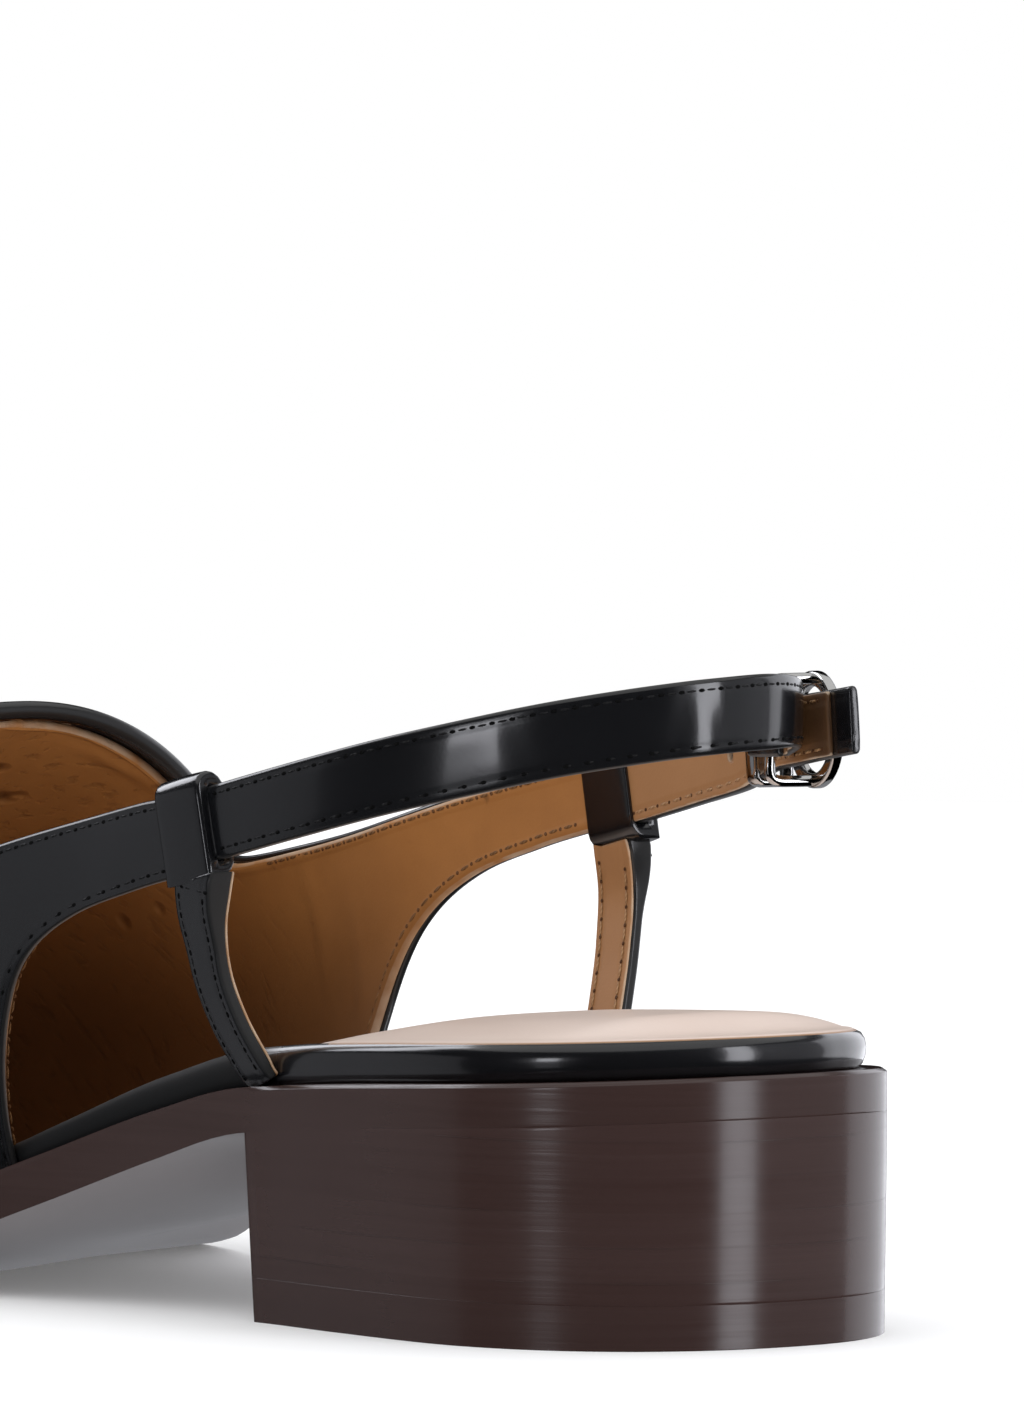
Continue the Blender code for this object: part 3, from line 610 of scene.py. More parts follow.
def noise(where, scale, detail=2.0, stretch=None):
    """Noise in metres, from 0 to 1; stretch squeezes it along the axes."""
    if stretch is not None:
        where = where.node("ShaderNodeVectorMath", {"operation": "MULTIPLY"}, {0: where, 1: stretch})
    return where.node("ShaderNodeTexNoise", {}, {"Vector": where, "Scale": scale, "Detail": detail}, "Fac")


def between(value, low, high):
    """Smooth step of a value from 0 at low to 1 at high."""
    return value.node("ShaderNodeMapRange", {"interpolation_type": "SMOOTHSTEP"},
                      {"Value": value, "From Min": low, "From Max": high})


def tint(factor, first, second):
    """Mix of two colours."""
    return factor.node("ShaderNodeMix", {"data_type": "RGBA"}, {0: factor, 6: first, 7: second}, 2)


def raised(height, depth_mm, strength=1.0, under=None):
    """Bump of a height from 0 to 1 that stands for a real depth."""
    inputs = {"Height": height, "Distance": depth_mm * MM, "Strength": strength}
    if under is not None:
        inputs["Normal"] = under
    return height.node("ShaderNodeBump", {}, inputs)


def colour(red, green, blue):
    """Opaque colour."""
    return red, green, blue, 1.0


def along_shoe(coordinates, stations):
    """Smooth step from 0 to 1 between two stations along the shoe."""
    forward = coordinates.node("ShaderNodeSeparateXYZ", {}, {"Vector": coordinates}, "X")
    return between(forward, *(place((x, 0.0, 0.0)).x for x in stations))


def up_shoe(coordinates, heights):
    """Smooth step from 0 to 1 between two heights above the floor."""
    height = coordinates.node("ShaderNodeSeparateXYZ", {}, {"Vector": coordinates}, "Z")
    return between(height, *(z * MM for z in heights))


def margin_of(coordinates):
    """Distance from the cut edge of the leather, in millimetres."""
    return coordinates.node("ShaderNodeAttribute", {"attribute_name": "margin"}, {}, "Fac")


def stitch_groove(coordinates, row):
    """Dip of the leather along a row of stitches: 0 in the groove, 1 beside it."""
    margin = margin_of(coordinates)
    rising = between(margin, row - GROOVE_WIDTH, row)
    return 1.0 - rising * (1.0 - between(margin, row, row + GROOVE_WIDTH))


def black_leather(name, arch_dullness=0.0, edge_dullness=0.08):
    """Smooth glossy box calf with fine pores and pull marks, duller at its cut edges and along the arch."""
    material, shader, here = begin_finish(name)
    pores = here.node("ShaderNodeTexVoronoi", {}, {"Vector": here, "Scale": 2600.0}, "Distance")
    cloud = noise(here, 45.0, 4.0)
    pull = noise(here, 420.0, 3.0)
    edge = 1.0 - between(margin_of(here), 0.05, 0.5)
    base = tint(cloud, colour(0.0035, 0.0036, 0.0042), colour(0.0075, 0.0078, 0.0092))
    bump = raised(stitch_groove(here, LEATHER_ROW), 0.05)
    bump = raised(pores * 0.6 + pull * 0.4, 0.012, 0.5, bump)
    roughness = 0.15 + cloud * 0.1 + pull * 0.05 + edge * edge_dullness
    coat = 0.6 - edge * (0.36 + 0.5 * edge_dullness)
    if arch_dullness:
        dull = along_shoe(here, RAND_DULL_XS) * arch_dullness
        roughness = roughness + dull * 0.45
        coat = coat * (1.0 - dull)
    feed(shader, {"Base Color": tint(edge, base, colour(0.013, 0.0128, 0.0128)), "Roughness": roughness,
                  "Coat Weight": coat, "Coat Roughness": 0.1, "Normal": bump})
    return material


def tan_lining(name, low, high, roughness, depths, tail_shade):
    """Soft tan leather with a short nap and a pale cut edge.

    Painted shade darkens it by the share depths low in the shoe, and by the share tail_shade at the tail of
    a strap.
    """
    material, shader, here = begin_finish(name)
    nap = noise(here, 3200.0, 2.0)
    cloud = noise(here, 70.0, 4.0)
    streak = noise(here, 260.0, 3.0)
    edge = 1.0 - between(margin_of(here) + streak * 0.5, 0.15, 0.42)
    scuff = between(noise(here, 170.0, 5.0), 0.66, 0.72)
    tail = 1.0 - along_shoe(here, TAIL_SHADE_XS)
    shade = 1.0 - up_shoe(here, LINING_SHADE_HEIGHTS)
    # Dark brown for the painted shade in the vamp lining's wrinkles and dents
    shade_brown = colour(0.06, 0.022, 0.006)
    base = tint(cloud * 0.55 + streak * 0.3 + nap * 0.15, low, high)
    # Painted shade on the tail of a strap, then painted shade low in the shoe
    base = tint(tail * tail_shade, base, colour(0.045, 0.022, 0.011))
    base = tint(shade * depths, base, colour(0.045, 0.015, 0.004))
    base = tint(scuff * 0.45, base, colour(0.05, 0.02, 0.007))
    bump = raised(stitch_groove(here, LINING_ROW), 0.08)
    bump = raised(nap * 0.4 + streak * 0.5 - scuff * 0.4, 0.07, 0.6, bump)
    pale = 0.75
    if depths:
        pale = 0.3 + up_shoe(here, PALE_EDGE_HEIGHTS) * 0.4
        slanted = here.node("ShaderNodeVectorRotate", {"rotation_type": "Y_AXIS"},
                            {"Vector": here, "Angle": WRINKLE_TURN})
        throat = along_shoe(here, WRINKLE_XS)
        wrinkle = between(noise(slanted, 560.0, 3.0, (0.28, 1.0, 1.0)), 0.54, 0.72) * throat
        # Painted shade in the wrinkles; the same dark brown also darkens the lining back from the throat
        base = tint(wrinkle * 0.2 + (1.0 - throat) * 0.14, base, shade_brown)
        bump = raised(1.0 - wrinkle, 0.14, 0.7, bump)
        for x, y, z, radius, depth in LINING_DENTS:
            apart = here.node("ShaderNodeVectorMath", {"operation": "DISTANCE"},
                              {0: here, 1: place((x, y, z))}, "Value")
            dent = 1.0 - between(apart, 0.0, radius * MM)
            # Painted shade in the hollow of each dent
            base = tint(dent * (0.45 * depth), base, shade_brown)
            bump = raised(1.0 - dent, depth, 1.0, bump)
    feed(shader, {"Base Color": tint(edge * pale, base, colour(0.5, 0.39, 0.28)),
                  "Roughness": roughness + streak * 0.12, "Specular IOR Level": 0.3, "Normal": bump})
    return material


def insole_leather():
    """Pinkish beige sock leather with a fine grain and soft handling marks; its tan cut edge turns to
    painted shade along the arch.
    """
    material, shader, here = begin_finish("insole_leather")
    grain = here.node("ShaderNodeTexVoronoi", {}, {"Vector": here, "Scale": 1500.0}, "Distance")
    cloud = noise(here, 28.0, 4.0)
    rub = noise(here, 110.0, 3.0, (0.35, 1.0, 1.0))
    edge = 1.0 - between(margin_of(here), 0.72, 0.9)
    # Tan cut edge, turned to painted shade along the arch
    cut = tint(along_shoe(here, CUT_SHADE_XS), colour(0.27, 0.14, 0.06), colour(0.02, 0.012, 0.008))
    base = tint(cloud * 0.6 + rub * 0.4, colour(0.6, 0.475, 0.405), colour(0.7, 0.585, 0.52))
    bump = raised(grain, 0.02, 0.5)
    bump = raised(rub, 0.12, 0.5, bump)
    feed(shader, {"Base Color": tint(edge, base, cut),
                  "Roughness": 0.34 + rub * 0.16, "Coat Weight": 0.08 + cloud * 0.08,
                  "Coat Roughness": 0.25, "Normal": bump})
    return material


def level_grain(coordinates):
    """Fine fibres and broader bands that run level round the stack and the sole's edge."""
    fibre = noise(coordinates, 1500.0, 2.0, (0.02, 0.02, 1.0))
    band = noise(coordinates, 420.0, 3.0, (0.03, 0.03, 1.0))
    return fibre, band


def stacked_leather(name, layer_mm, low, high, roughness, lines):
    """Burnished stack: thin horizontal layers, a few open joints, satin wax polish."""
    material, shader, here = begin_finish(name)
    height = here.node("ShaderNodeSeparateXYZ", {}, {"Vector": here}, "Z")
    drift = noise(here, 22.0, 2.0)
    level = height * (1.0 / (layer_mm * MM)) + drift * 0.16
    phase = level.math("FRACT", level)
    joint = 1.0 - between(phase, 0.0, 0.05) * (1.0 - between(phase, 0.93, 1.0))
    steps = level.math("FLOOR", level)
    layer = steps.node("ShaderNodeTexWhiteNoise", {"noise_dimensions": "1D"}, {"W": steps}, "Value")
    fibre, band = level_grain(here)
    broken = between(noise(here, 55.0, 3.0, (1.0, 1.0, 6.0)), 0.42, 0.6)
    seam = joint * broken * lines
    base = tint(layer * 0.2 + fibre * 0.4 + band * 0.4, low, high)
    bump = raised(1.0 - seam, 0.02, 0.6)
    bump = raised(fibre * 0.8 + band * 0.2, 0.06, 0.7, bump)
    feed(shader, {"Base Color": tint(seam * 0.6, base, colour(0.012, 0.007, 0.006)),
                  "Roughness": roughness + fibre * 0.06 + layer * 0.03 + seam * 0.15,
                  "Coat Weight": 0.15, "Coat Roughness": 0.12, "Specular IOR Level": 0.35, "Normal": bump})
    return material


def sole_leather():
    """Outsole: dark waxed edge in the colour of the heel, smooth greyish brown lacquered underside."""
    material, shader, here = begin_finish("sole_leather")
    facing = here.node("ShaderNodeNewGeometry", {}, {}, "Normal")
    down = here.node("ShaderNodeSeparateXYZ", {}, {"Vector": facing}, "Z") * -1.0
    under = between(down, 0.45, 0.8)
    fibre, band = level_grain(here)
    cloud = noise(here, 34.0, 4.0)
    scuff = noise(here, 600.0, 3.0, (0.12, 1.0, 1.0))
    edge = tint(fibre * 0.5 + band * 0.5, colour(0.026, 0.0135, 0.0115), colour(0.042, 0.0235, 0.021))
    lacquer = tint(cloud * 0.8 + scuff * 0.2, colour(0.195, 0.172, 0.173), colour(0.24, 0.215, 0.216))
    bump = raised((fibre * 0.8 + band * 0.2) * (1.0 - under), 0.06, 0.7)
    feed(shader, {"Base Color": tint(under, edge, lacquer),
                  "Roughness": 0.2 + fibre * (1.0 - under) * 0.06 + under * 0.2,
                  "Coat Weight": 0.15 + under * 0.7, "Coat Roughness": 0.16, "Specular IOR Level": 0.35,
                  "Normal": bump})
    return material


def polished_metal():
    """Polished silver plate with hairline wear."""
    material, shader, here = begin_finish("polished_metal")
    cloud = noise(here, 300.0, 3.0)
    hairline = noise(here, 2400.0, 2.0, (0.1, 1.0, 1.0))
    feed(shader, {"Base Color": tint(cloud, colour(0.5, 0.497, 0.49), colour(0.64, 0.64, 0.635)),
                  "Metallic": 1.0, "Roughness": 0.06 + hairline * 0.07 + cloud * 0.04,
                  "Normal": raised(hairline, 0.006, 0.4)})
    return material


def thread(name, low, high, roughness):
    """Twisted thread: two tones in fine slanting strands."""
    material, shader, here = begin_finish(name)
    strand = here.node("ShaderNodeTexWave", {"wave_type": "BANDS", "bands_direction": "DIAGONAL"},
                       {"Vector": here, "Scale": 1100.0, "Distortion": 1.5}, "Fac")
    feed(shader, {"Base Color": tint(strand, low, high), "Roughness": roughness + strand * 0.1,
                  "Specular IOR Level": 0.25, "Normal": raised(strand, 0.05, 0.7)})
    return material


def new_piece(name, mesh_data, finish):
    """Welds a bmesh, turns its faces outwards and links it as an object."""
    bmesh.ops.remove_doubles(mesh_data, verts=mesh_data.verts[:], dist=WELD)
    bmesh.ops.dissolve_degenerate(mesh_data, edges=mesh_data.edges[:], dist=WELD)
    bmesh.ops.recalc_face_normals(mesh_data, faces=mesh_data.faces[:])
    mesh = bpy.data.meshes.new(name)
    mesh_data.to_mesh(mesh)
    mesh_data.free()
    mesh.shade_smooth()
    mesh.set_sharp_from_angle(angle=SHARP_ANGLE)
    mesh.materials.append(finish)
    piece = bpy.data.objects.new(name, mesh)
    bpy.context.scene.collection.objects.link(piece)
    return piece


def flatten_modifiers(piece):
    """Turns a piece and its modifiers into a plain mesh."""
    graph = bpy.context.evaluated_depsgraph_get()
    mesh = bpy.data.meshes.new_from_object(piece.evaluated_get(graph))
    piece.modifiers.clear()
    piece.data = mesh
    mesh.name = piece.name
    return piece


def dress(piece, slot, *nodes):
    """Puts a finished piece on the shoe in place of its CAD nodes."""
    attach(piece, "root")
    if nodes:
        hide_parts(*nodes)
    return piece


def skin(mesh_data, rings, closed, margins=None, left_open=None):
    """Joins rows of points with faces; closed rows are loops. Margins are distances from a cut edge."""
    layer = mesh_data.verts.layers.float.get("margin") or mesh_data.verts.layers.float.new("margin")
    rows = []
    for r, ring in enumerate(rings):
        row = [mesh_data.verts.new(place(p)) for p in ring]
        for i, vert in enumerate(row):
            vert[layer] = margins[r][i] if margins else NO_MARGIN
        rows.append(row)
    for r, (row_a, row_b) in enumerate(zip(rows, rows[1:])):
        count = len(row_a)
        for i in range(count if closed else count - 1):
            j = (i + 1) % count
            if left_open is None or not left_open(r, i):
                mesh_data.faces.new((row_a[i], row_a[j], row_b[j], row_b[i]))
    return rows


def outline_point(station, side, inset):
    """Point on the sole's outline, drawn inwards by an inset."""
    x = inset + station * (SHOE_LENGTH - 2.0 * inset) / SHOE_LENGTH
    return x, side * half_width(x, side, inset)


def sole_piece(name, stations, inset, edge, top, bottom, finish, across=28, shift=None, flat_front=False,
               middle=None, rounding=None):
    """Plate with the sole's outline and an edge profile, between two height functions.

    shift moves its points, middle is a dished top, and rounding scales the edge profile along the shoe.
    """
    loops, margins = [], []
    for station, end_inset in stations:
        loop, margin = [], []
        rounded = rounding(station) if rounding else 1.0
        profile = [(edge_inset * rounded, share) for edge_inset, share in edge]

        def row_across(edge_inset, height, order):
            total = inset(station) + edge_inset + end_inset
            (x, outer), (_, inner) = (outline_point(station, side, total) for side in (OUTER, INNER))
            for i in order:
                y = inner + (outer - inner) * i / across
                loop.append((x, y, height(x, y)))
                margin.append(NO_MARGIN)

        def side_points(side, rows):
            for edge_inset, share in rows:
                x, y = outline_point(station, side, inset(station) + edge_inset + end_inset)
                loop.append((x, y, top(x, y) + (bottom(x, y) - top(x, y)) * share))
                margin.append(1.0 - share)

        row_across(profile[0][0], middle or top, range(across + 1))
        side_points(OUTER, profile[1:-1])
        row_across(profile[-1][0], bottom, range(across, -1, -1))
        side_points(INNER, reversed(profile[1:-1]))
        loops.append([shift(p) for p in loop] if shift else loop)
        margins.append(margin)
    mesh_data = bmesh.new()
    rows = skin(mesh_data, loops, True, None if middle else margins)
    if flat_front:
        mesh_data.faces.new(rows[-1])
    return new_piece(name, mesh_data, finish)


def heel_lean(point):
    """The heel's back and breast lean, and its sides draw in, towards the floor."""
    x, y, z = point
    drop = 1.0 - min(z / read_table(SOLE_PROFILE, BREAST_X), 1.0)
    along = x / BREAST_X
    moved = HEEL_BACK_LEAN * (1.0 - along) - HEEL_BREAST_LEAN * along
    return x + moved * drop, y * (1.0 + (HEEL_SIDE_DRAFT - 1.0) * drop), z


def make_sole_pieces(finishes):
    """Outsole, stacked heel, rubber top piece, wrapped footbed and padded insole."""
    whole = [(x, 0.0) for x in spread_both(0.0, SHOE_LENGTH, 150)]
    heel = [(x, 0.0) for x in spread_start(0.0, BREAST_X - BREAST_CORNER, 56)]
    heel += [(BREAST_X - 0.3 * BREAST_CORNER, 0.24 * BREAST_CORNER), (BREAST_X, 0.8 * BREAST_CORNER)]
    rand = [(x, 0.0) for x in spread_start(0.0, RAND_FRONT_X - RAND_INSET, 80)]

    def flush(station):
        return 0.0

    def tucked(station):
        return RAND_INSET + RAND_TUCK * ease(*RAND_TUCK_XS, station)

    def crisp(station):
        return 1.0 - CRISP_EDGE_SHARE * ease(*CRISP_EDGE_XS, station)

    outsole = sole_piece("outsole_trimmed", whole, flush, TRIMMED_EDGE, sole_top, sole_bottom,
                         finishes["sole"], rounding=crisp)
    dress(outsole, "sole_leather", "outsole")
    stack = sole_piece("heel_stack", heel, flush, STACK_EDGE, sole_edge, lambda x, y: TOP_PIECE_HEIGHT,
                       finishes["stack"], across=24, shift=heel_lean, flat_front=True)
    dress(stack, "stacked_heel", "heel_block")
    tread = sole_piece("heel_tread", heel, flush, STACK_EDGE, lambda x, y: TOP_PIECE_HEIGHT,
                       lambda x, y: 0.0, finishes["rubber"], across=24, shift=heel_lean, flat_front=True)
    dress(tread, "heel_rubber", "heel_top_piece")
    wrapped = sole_piece("footbed_wrapped", rand, tucked, ROLLED_EDGE, rand_top,
                         lambda x, y: sole_top(x, y) - SEAT, finishes["rand"], across=24,
                         flat_front=True, middle=lambda x, y: insole_bottom(x, y) - SEAT)
    dress(wrapped, "black_leather", "footbed_rand")
    sock = sole_piece("insole_sock", whole, insole_inset, SOCK_EDGE, insole_top, insole_bottom,
                      finishes["insole"], across=40)
    dress(sock, "insole_leather", "insole")


@lru_cache(maxsize=None)
def last_section(x, side):
    """Sizes of one side of the last at x: foot, widest, base, belt, ridge, ridge shift, arch power."""
    front = SHOE_LENGTH - UPPER_INSET
    belt = read_table(UPPER_SECTIONS, x, 3)
    toe_share = rounded_end(front - x, TOE_ROUND_LENGTH, 2.0)
    tip_share = rounded_end(front - x, TOE_CURVE_LENGTH, TOE_CURVE_POWER)
    ridge = belt + (read_table(UPPER_SECTIONS, x, 4) - belt) * toe_share
    foot = half_width(x, side, UPPER_INSET)
    widest = foot + read_table(UPPER_SECTIONS, x, 1 if side == OUTER else 2) * tip_share
    base = sole_top(x, side * foot) - SEAT
    shift = read_table(UPPER_SECTIONS, x, 5) * tip_share
    return foot, widest, base, belt, ridge, shift, read_table(UPPER_SECTIONS, x, 6)


def upper_point(x, side, q):
    """Point of the upper's outside; q runs from 0 at the sole over the belt to 1 on the ridge."""
    foot, widest, base, belt, ridge, shift, power = last_section(x, side)
    if q < WALL_SHARE:
        t = q / WALL_SHARE
        width = foot + (widest - foot) * (1.0 - (1.0 - t) ** 2)
        return Vector((x, side * width, base + (belt - base) * t))
    angle = 0.5 * math.pi * min((q - WALL_SHARE) / (1.0 - WALL_SHARE), 1.0)
    width = widest * max(math.cos(angle), 0.0) ** (2.0 / power)
    lift = math.sin(angle) ** (2.0 / power)
    return Vector((x, side * width + shift * lift, belt + (ridge - belt) * lift))


def upper_normal(x, side, q):
    """Outward direction of the upper."""
    step_x, step_q = 0.25, 0.004
    along = upper_point(x + step_x, side, q) - upper_point(x - step_x, side, q)
    around = upper_point(x, side, min(q + step_q, 1.0)) - upper_point(x, side, max(q - step_q, 0.0))
    if q > ON_RIDGE:
        around = Vector((0.0, -side, 0.0))
    return (along.cross(around) * -side).normalized()


def height_on_upper(x, side, level):
    """Parameter q where the upper reaches a level in side view."""
    low, high = 0.0, 1.0
    for _ in range(40):
        middle = 0.5 * (low + high)
        point = upper_point(x, side, middle)
        if point.z + SIDE_TILT * point.y < level:
            low = middle
        else:
            high = middle
    return high if high > ON_RIDGE else low


def offset_line(points, inset_at, turn):
    """Side-view line moved into the leather; turn is the side that the leather lies on."""
    moved = []
    for i, point in enumerate(points):
        tangent = (points[min(i + 1, len(points) - 1)] - points[max(i - 1, 0)]).normalized()
        moved.append(point + Vector((-tangent.y, tangent.x)) * (turn * inset_at(point)))
    return moved


def start_line(line):
    """Starts a line on the upper at the back end of the wings."""
    k = next(i for i, (x, _) in enumerate(line) if x > UPPER_BACK_X)
    (xa, qa), (xb, qb) = line[max(k - 1, 0)], line[max(k, 1)]
    share = (UPPER_BACK_X - xa) / (xb - xa)
    return [(UPPER_BACK_X, qa + (qb - qa) * share)] + line[k:]


def collar_line(side, inset_at):
    """Topline and throat of one side as (x, q), from the wing's end up to the ridge."""
    points = smooth_path(TOPLINE, 10)
    throat_low, throat_steps = TOPLINE[-1][1], 60
    if side == INNER:
        for point in points:
            low = 1.0 - ease(*CORNER_FADE_LEVELS, point.y)
            point.x += INNER_CORNER_SHIFT * ease(*CORNER_START_XS, point.x) * low
    for i in range(1, throat_steps + 1):
        rise = (THROAT_TOP - throat_low) * i / throat_steps
        points.append(Vector((THROAT_X + THROAT_LEAN * i / throat_steps, throat_low + rise)))
    line = []
    for point in offset_line(points, lambda p: inset_at(p, side), -1.0):
        q = height_on_upper(point.x, side, point.y)
        line.append((point.x, q))
        if q >= ON_RIDGE:
            break
    return start_line(line)


def window_line(side, inset_at):
    """Edge of the side window as (x, q), from the wing's end round the corner down to the sole."""
    line = []
    for point in offset_line(smooth_path(WINDOW_EDGE, 10), lambda p: inset_at(p, side), 1.0):
        y = side * WING_HALF_WIDTH
        low, high = WINDOW_SHIFT_LEVELS
        shift = WINDOW_SHIFT[side] * ease(*low, point.y) * (1.0 - ease(*high, point.y))
        for _ in range(6):
            x = point.x - shift + WINDOW_SKEW * (WING_HALF_WIDTH - y)
            q = height_on_upper(x, side, point.y)
            y = upper_point(x, side, q).y
        line.append((x, q))
        if q <= 1e-6:
            break
    return start_line(line)


def even_steps(line, side, count):
    """Resamples a line on the upper into equal steps."""
    points = [upper_point(x, side, q) for x, q in line]
    reach = [0.0]
    for a, b in zip(points, points[1:]):
        reach.append(reach[-1] + (b - a).length)
    steps, k = [], 0
    for i in range(count + 1):
        target = reach[-1] * i / count
        while k < len(line) - 2 and reach[k + 1] < target:
            k += 1
        share = (target - reach[k]) / max(reach[k + 1] - reach[k], 1e-9)
        steps.append((line[k][0] + (line[k + 1][0] - line[k][0]) * share,
                      line[k][1] + (line[k + 1][1] - line[k][1]) * share))
    return steps


def border_lines(side, window_inset, collar_inset):
    """Lower and upper border of one side as (x, q), column by column from the wing's end to the toe."""
    split_level, split_x, middle_x = 36.0, 124.0, 205.0
    front = SHOE_LENGTH - UPPER_INSET
    window, collar = window_line(side, window_inset), collar_line(side, collar_inset)
    w = next(i for i, (x, q) in enumerate(window) if upper_point(x, side, q).z < split_level)
    c = next(i for i, (x, q) in enumerate(collar) if x > split_x)
    base = [(window[-1][0] + (middle_x - window[-1][0]) * i / 40.0, 0.0) for i in range(1, 41)]
    shares = [math.sin(0.5 * math.pi * i / TOE_COLUMNS) for i in range(TOE_COLUMNS + 1)]
    low = even_steps(window[:w + 1], side, BAND_COLUMNS)[:-1]
    low += even_steps(window[w:] + base, side, THROAT_COLUMNS)[:-1]
    low += [(middle_x + (front - middle_x) * s, 0.0) for s in shares]
    high = even_steps(collar[:c + 1], side, BAND_COLUMNS)[:-1]
    high += even_steps(collar[c:], side, THROAT_COLUMNS)[:-1]
    high += [(collar[-1][0] + (front - collar[-1][0]) * s, 1.0) for s in shares]
    return low, high


def rounded_rim(side, inside, edge, depth, thickness, is_open):
    """Points from the outside to the inside of the leather round its edge, or straight through it."""
    normal = upper_normal(inside[0], side, inside[1])
    outer = upper_point(inside[0], side, inside[1]) - normal * depth
    radius = 0.5 * thickness
    shares = [j / (RIM_STEPS + 1.0) for j in range(1, RIM_STEPS + 1)]
    if not is_open:
        return [outer - normal * (thickness * share) for share in shares]
    reach = upper_point(edge[0], side, edge[1]) - upper_point(inside[0], side, inside[1])
    reach = (reach - normal * reach.dot(normal)).normalized()
    centre = outer - normal * radius
    angles = [math.pi * share for share in shares]
    return [centre + (normal * math.cos(angle) + reach * math.sin(angle)) * radius for angle in angles]


def turn_in(x, level):
    """Share of the black turn-in along the collar: none on the bands, full round the throat."""
    return ease(*TURN_IN_XS, x) * ease(*TURN_IN_LEVELS, level)


def pucker(point, from_edge):
    """Height of the small gathers of the lining along the throat, and of its creases."""
    wave = math.sin(2.0 * math.pi * (point.z - PUCKER_SLANT * point.y) / PUCKER_LENGTH)
    fade = ease(PUCKER_FROM_X, PUCKER_FROM_X + PUCKER_LENGTH, point.x)
    height = PUCKER_DEPTH * fade * wave * math.exp(-from_edge / PUCKER_REACH)
    for x, y, z, half_length, half_breadth, depth in LINING_CREASES:
        if point.y * y > 0.0:
            along = math.hypot(point.y - y, point.z - z) / half_length
            across = (point.x - x - CREASE_SLANT * (point.z - z)) / half_breadth
            ridge = math.exp(-along * along - across * across)
            height += depth * ridge * (1.0 - CREASE_LIP * across)
    return height


def upper_shell(name, window_inset, collar_inset, depth, thickness, finish, folded=0.0, gathered=False):
    """Shell of leather over the last, from a depth below its outside, open at collar and windows.

    folded is the extra thickness of a turn-in at the throat; gathered puckers the inside along it.
    """
    rim = 0.5 * thickness
    throat_top = BAND_COLUMNS + THROAT_COLUMNS
    per_skin = UPPER_ROWS + 1
    mesh_data = bmesh.new()
    for side in (OUTER, INNER):
        edges = border_lines(side, window_inset, collar_inset)
        borders = border_lines(side, lambda p, s: window_inset(p, s) + rim,
                               lambda p, s: collar_inset(p, s) + rim)
        loops, margins = [], []
        for k, ((x_low, q_low), (x_high, q_high)) in enumerate(zip(*borders)):
            places = []
            for i in range(per_skin):
                s = 1.0 - (1.0 - i / UPPER_ROWS) ** ROW_CROWDING
                places.append((x_low + (x_high - x_low) * s, q_low + (q_high - q_low) * s))
            normals = [upper_normal(x, side, q) for x, q in places]
            outer = [upper_point(x, side, q) - normal * depth for (x, q), normal in zip(places, normals)]
            reach = [0.0]
            for a, b in zip(outer, outer[1:]):
                reach.append(reach[-1] + (b - a).length)
            low_open, high_open = edges[0][k][1] > 1e-4, k <= throat_top
            fold = folded * turn_in(x_high, outer[-1].z) if high_open else 0.0
            inner, margin = [], []
            for point, normal, along in zip(outer, normals, reach):
                from_collar = rim + reach[-1] - along
                wall = thickness + fold * (1.0 - ease(TURN_IN_FULL, TURN_IN_END, from_collar))
                if gathered and high_open:
                    wall += pucker(point, from_collar)
                inner.append(toe_clear(point - normal * wall, side))
                near = [rim + along] * low_open + [from_collar] * high_open
                margin.append(min(near + [NO_MARGIN]))
            high_rim = rounded_rim(side, (x_high, q_high), edges[1][k], depth, thickness + fold, high_open)
            low_rim = rounded_rim(side, (x_low, q_low), edges[0][k], depth, thickness, low_open)
            loops.append(outer + high_rim + inner[::-1] + low_rim[::-1])
            margins.append(margin + [0.0] * RIM_STEPS + margin[::-1] + [0.0] * RIM_STEPS)
        rows = skin(mesh_data, loops, True, margins,
                    lambda k, i: k >= throat_top and per_skin - 1 <= i < per_skin + RIM_STEPS)
        mesh_data.faces.new(rows[0])
    piece = new_piece(name, mesh_data, finish)
    piece.data.shade_smooth()
    return piece


def toe_clear(point, side):
    """Keeps the inside of the toe from crossing to the other side of the shoe."""
    if point.x > SHOE_LENGTH - TOE_CLEAR_LENGTH and point.y * side < 0.0:
        point.y = 0.0
    return point


def frames_along(path):
    """Point, tangent, thickness and width directions of an upright band at each point of a path."""
    frames = []
    for i, point in enumerate(path):
        tangent = (path[min(i + 1, len(path) - 1)] - path[max(i - 1, 0)]).normalized()
        across = tangent.cross(UP).normalized()
        frames.append((point, tangent, across, across.cross(tangent)))
    return frames


def flat_section(low, high, half_w, corner, crown=0.0, face_steps=14):
    """Section of a flat strap from low to high across its thickness: across, upright and margin."""
    corner = min(corner, 0.5 * (high - low), half_w)
    reach = half_w - corner
    section = []
    for sign, edge in ((1.0, high), (-1.0, low)):
        for i in range(face_steps + 1):
            b = reach * (2.0 * i / face_steps - 1.0)
            swell = crown * (1.0 - (b / half_w) ** 4) if sign > 0.0 else 0.0
            section.append((edge + swell, sign * b, half_w - abs(b)))
        for i in range(1, 4):
            angle = 0.5 * math.pi * i / 4
            section.append((edge - sign * corner * (1.0 - math.cos(angle)),
                            sign * (reach + corner * math.sin(angle)), corner * (1.0 - math.sin(angle))))
        section.append((edge - sign * corner, sign * half_w, 0.0))
        far = low if sign > 0.0 else high
        for i in range(4):
            angle = 0.5 * math.pi * i / 4
            section.append((far + sign * corner * (1.0 - math.sin(angle)),
                            sign * (reach + corner * math.cos(angle)), corner * (1.0 - math.cos(angle))))
    return section


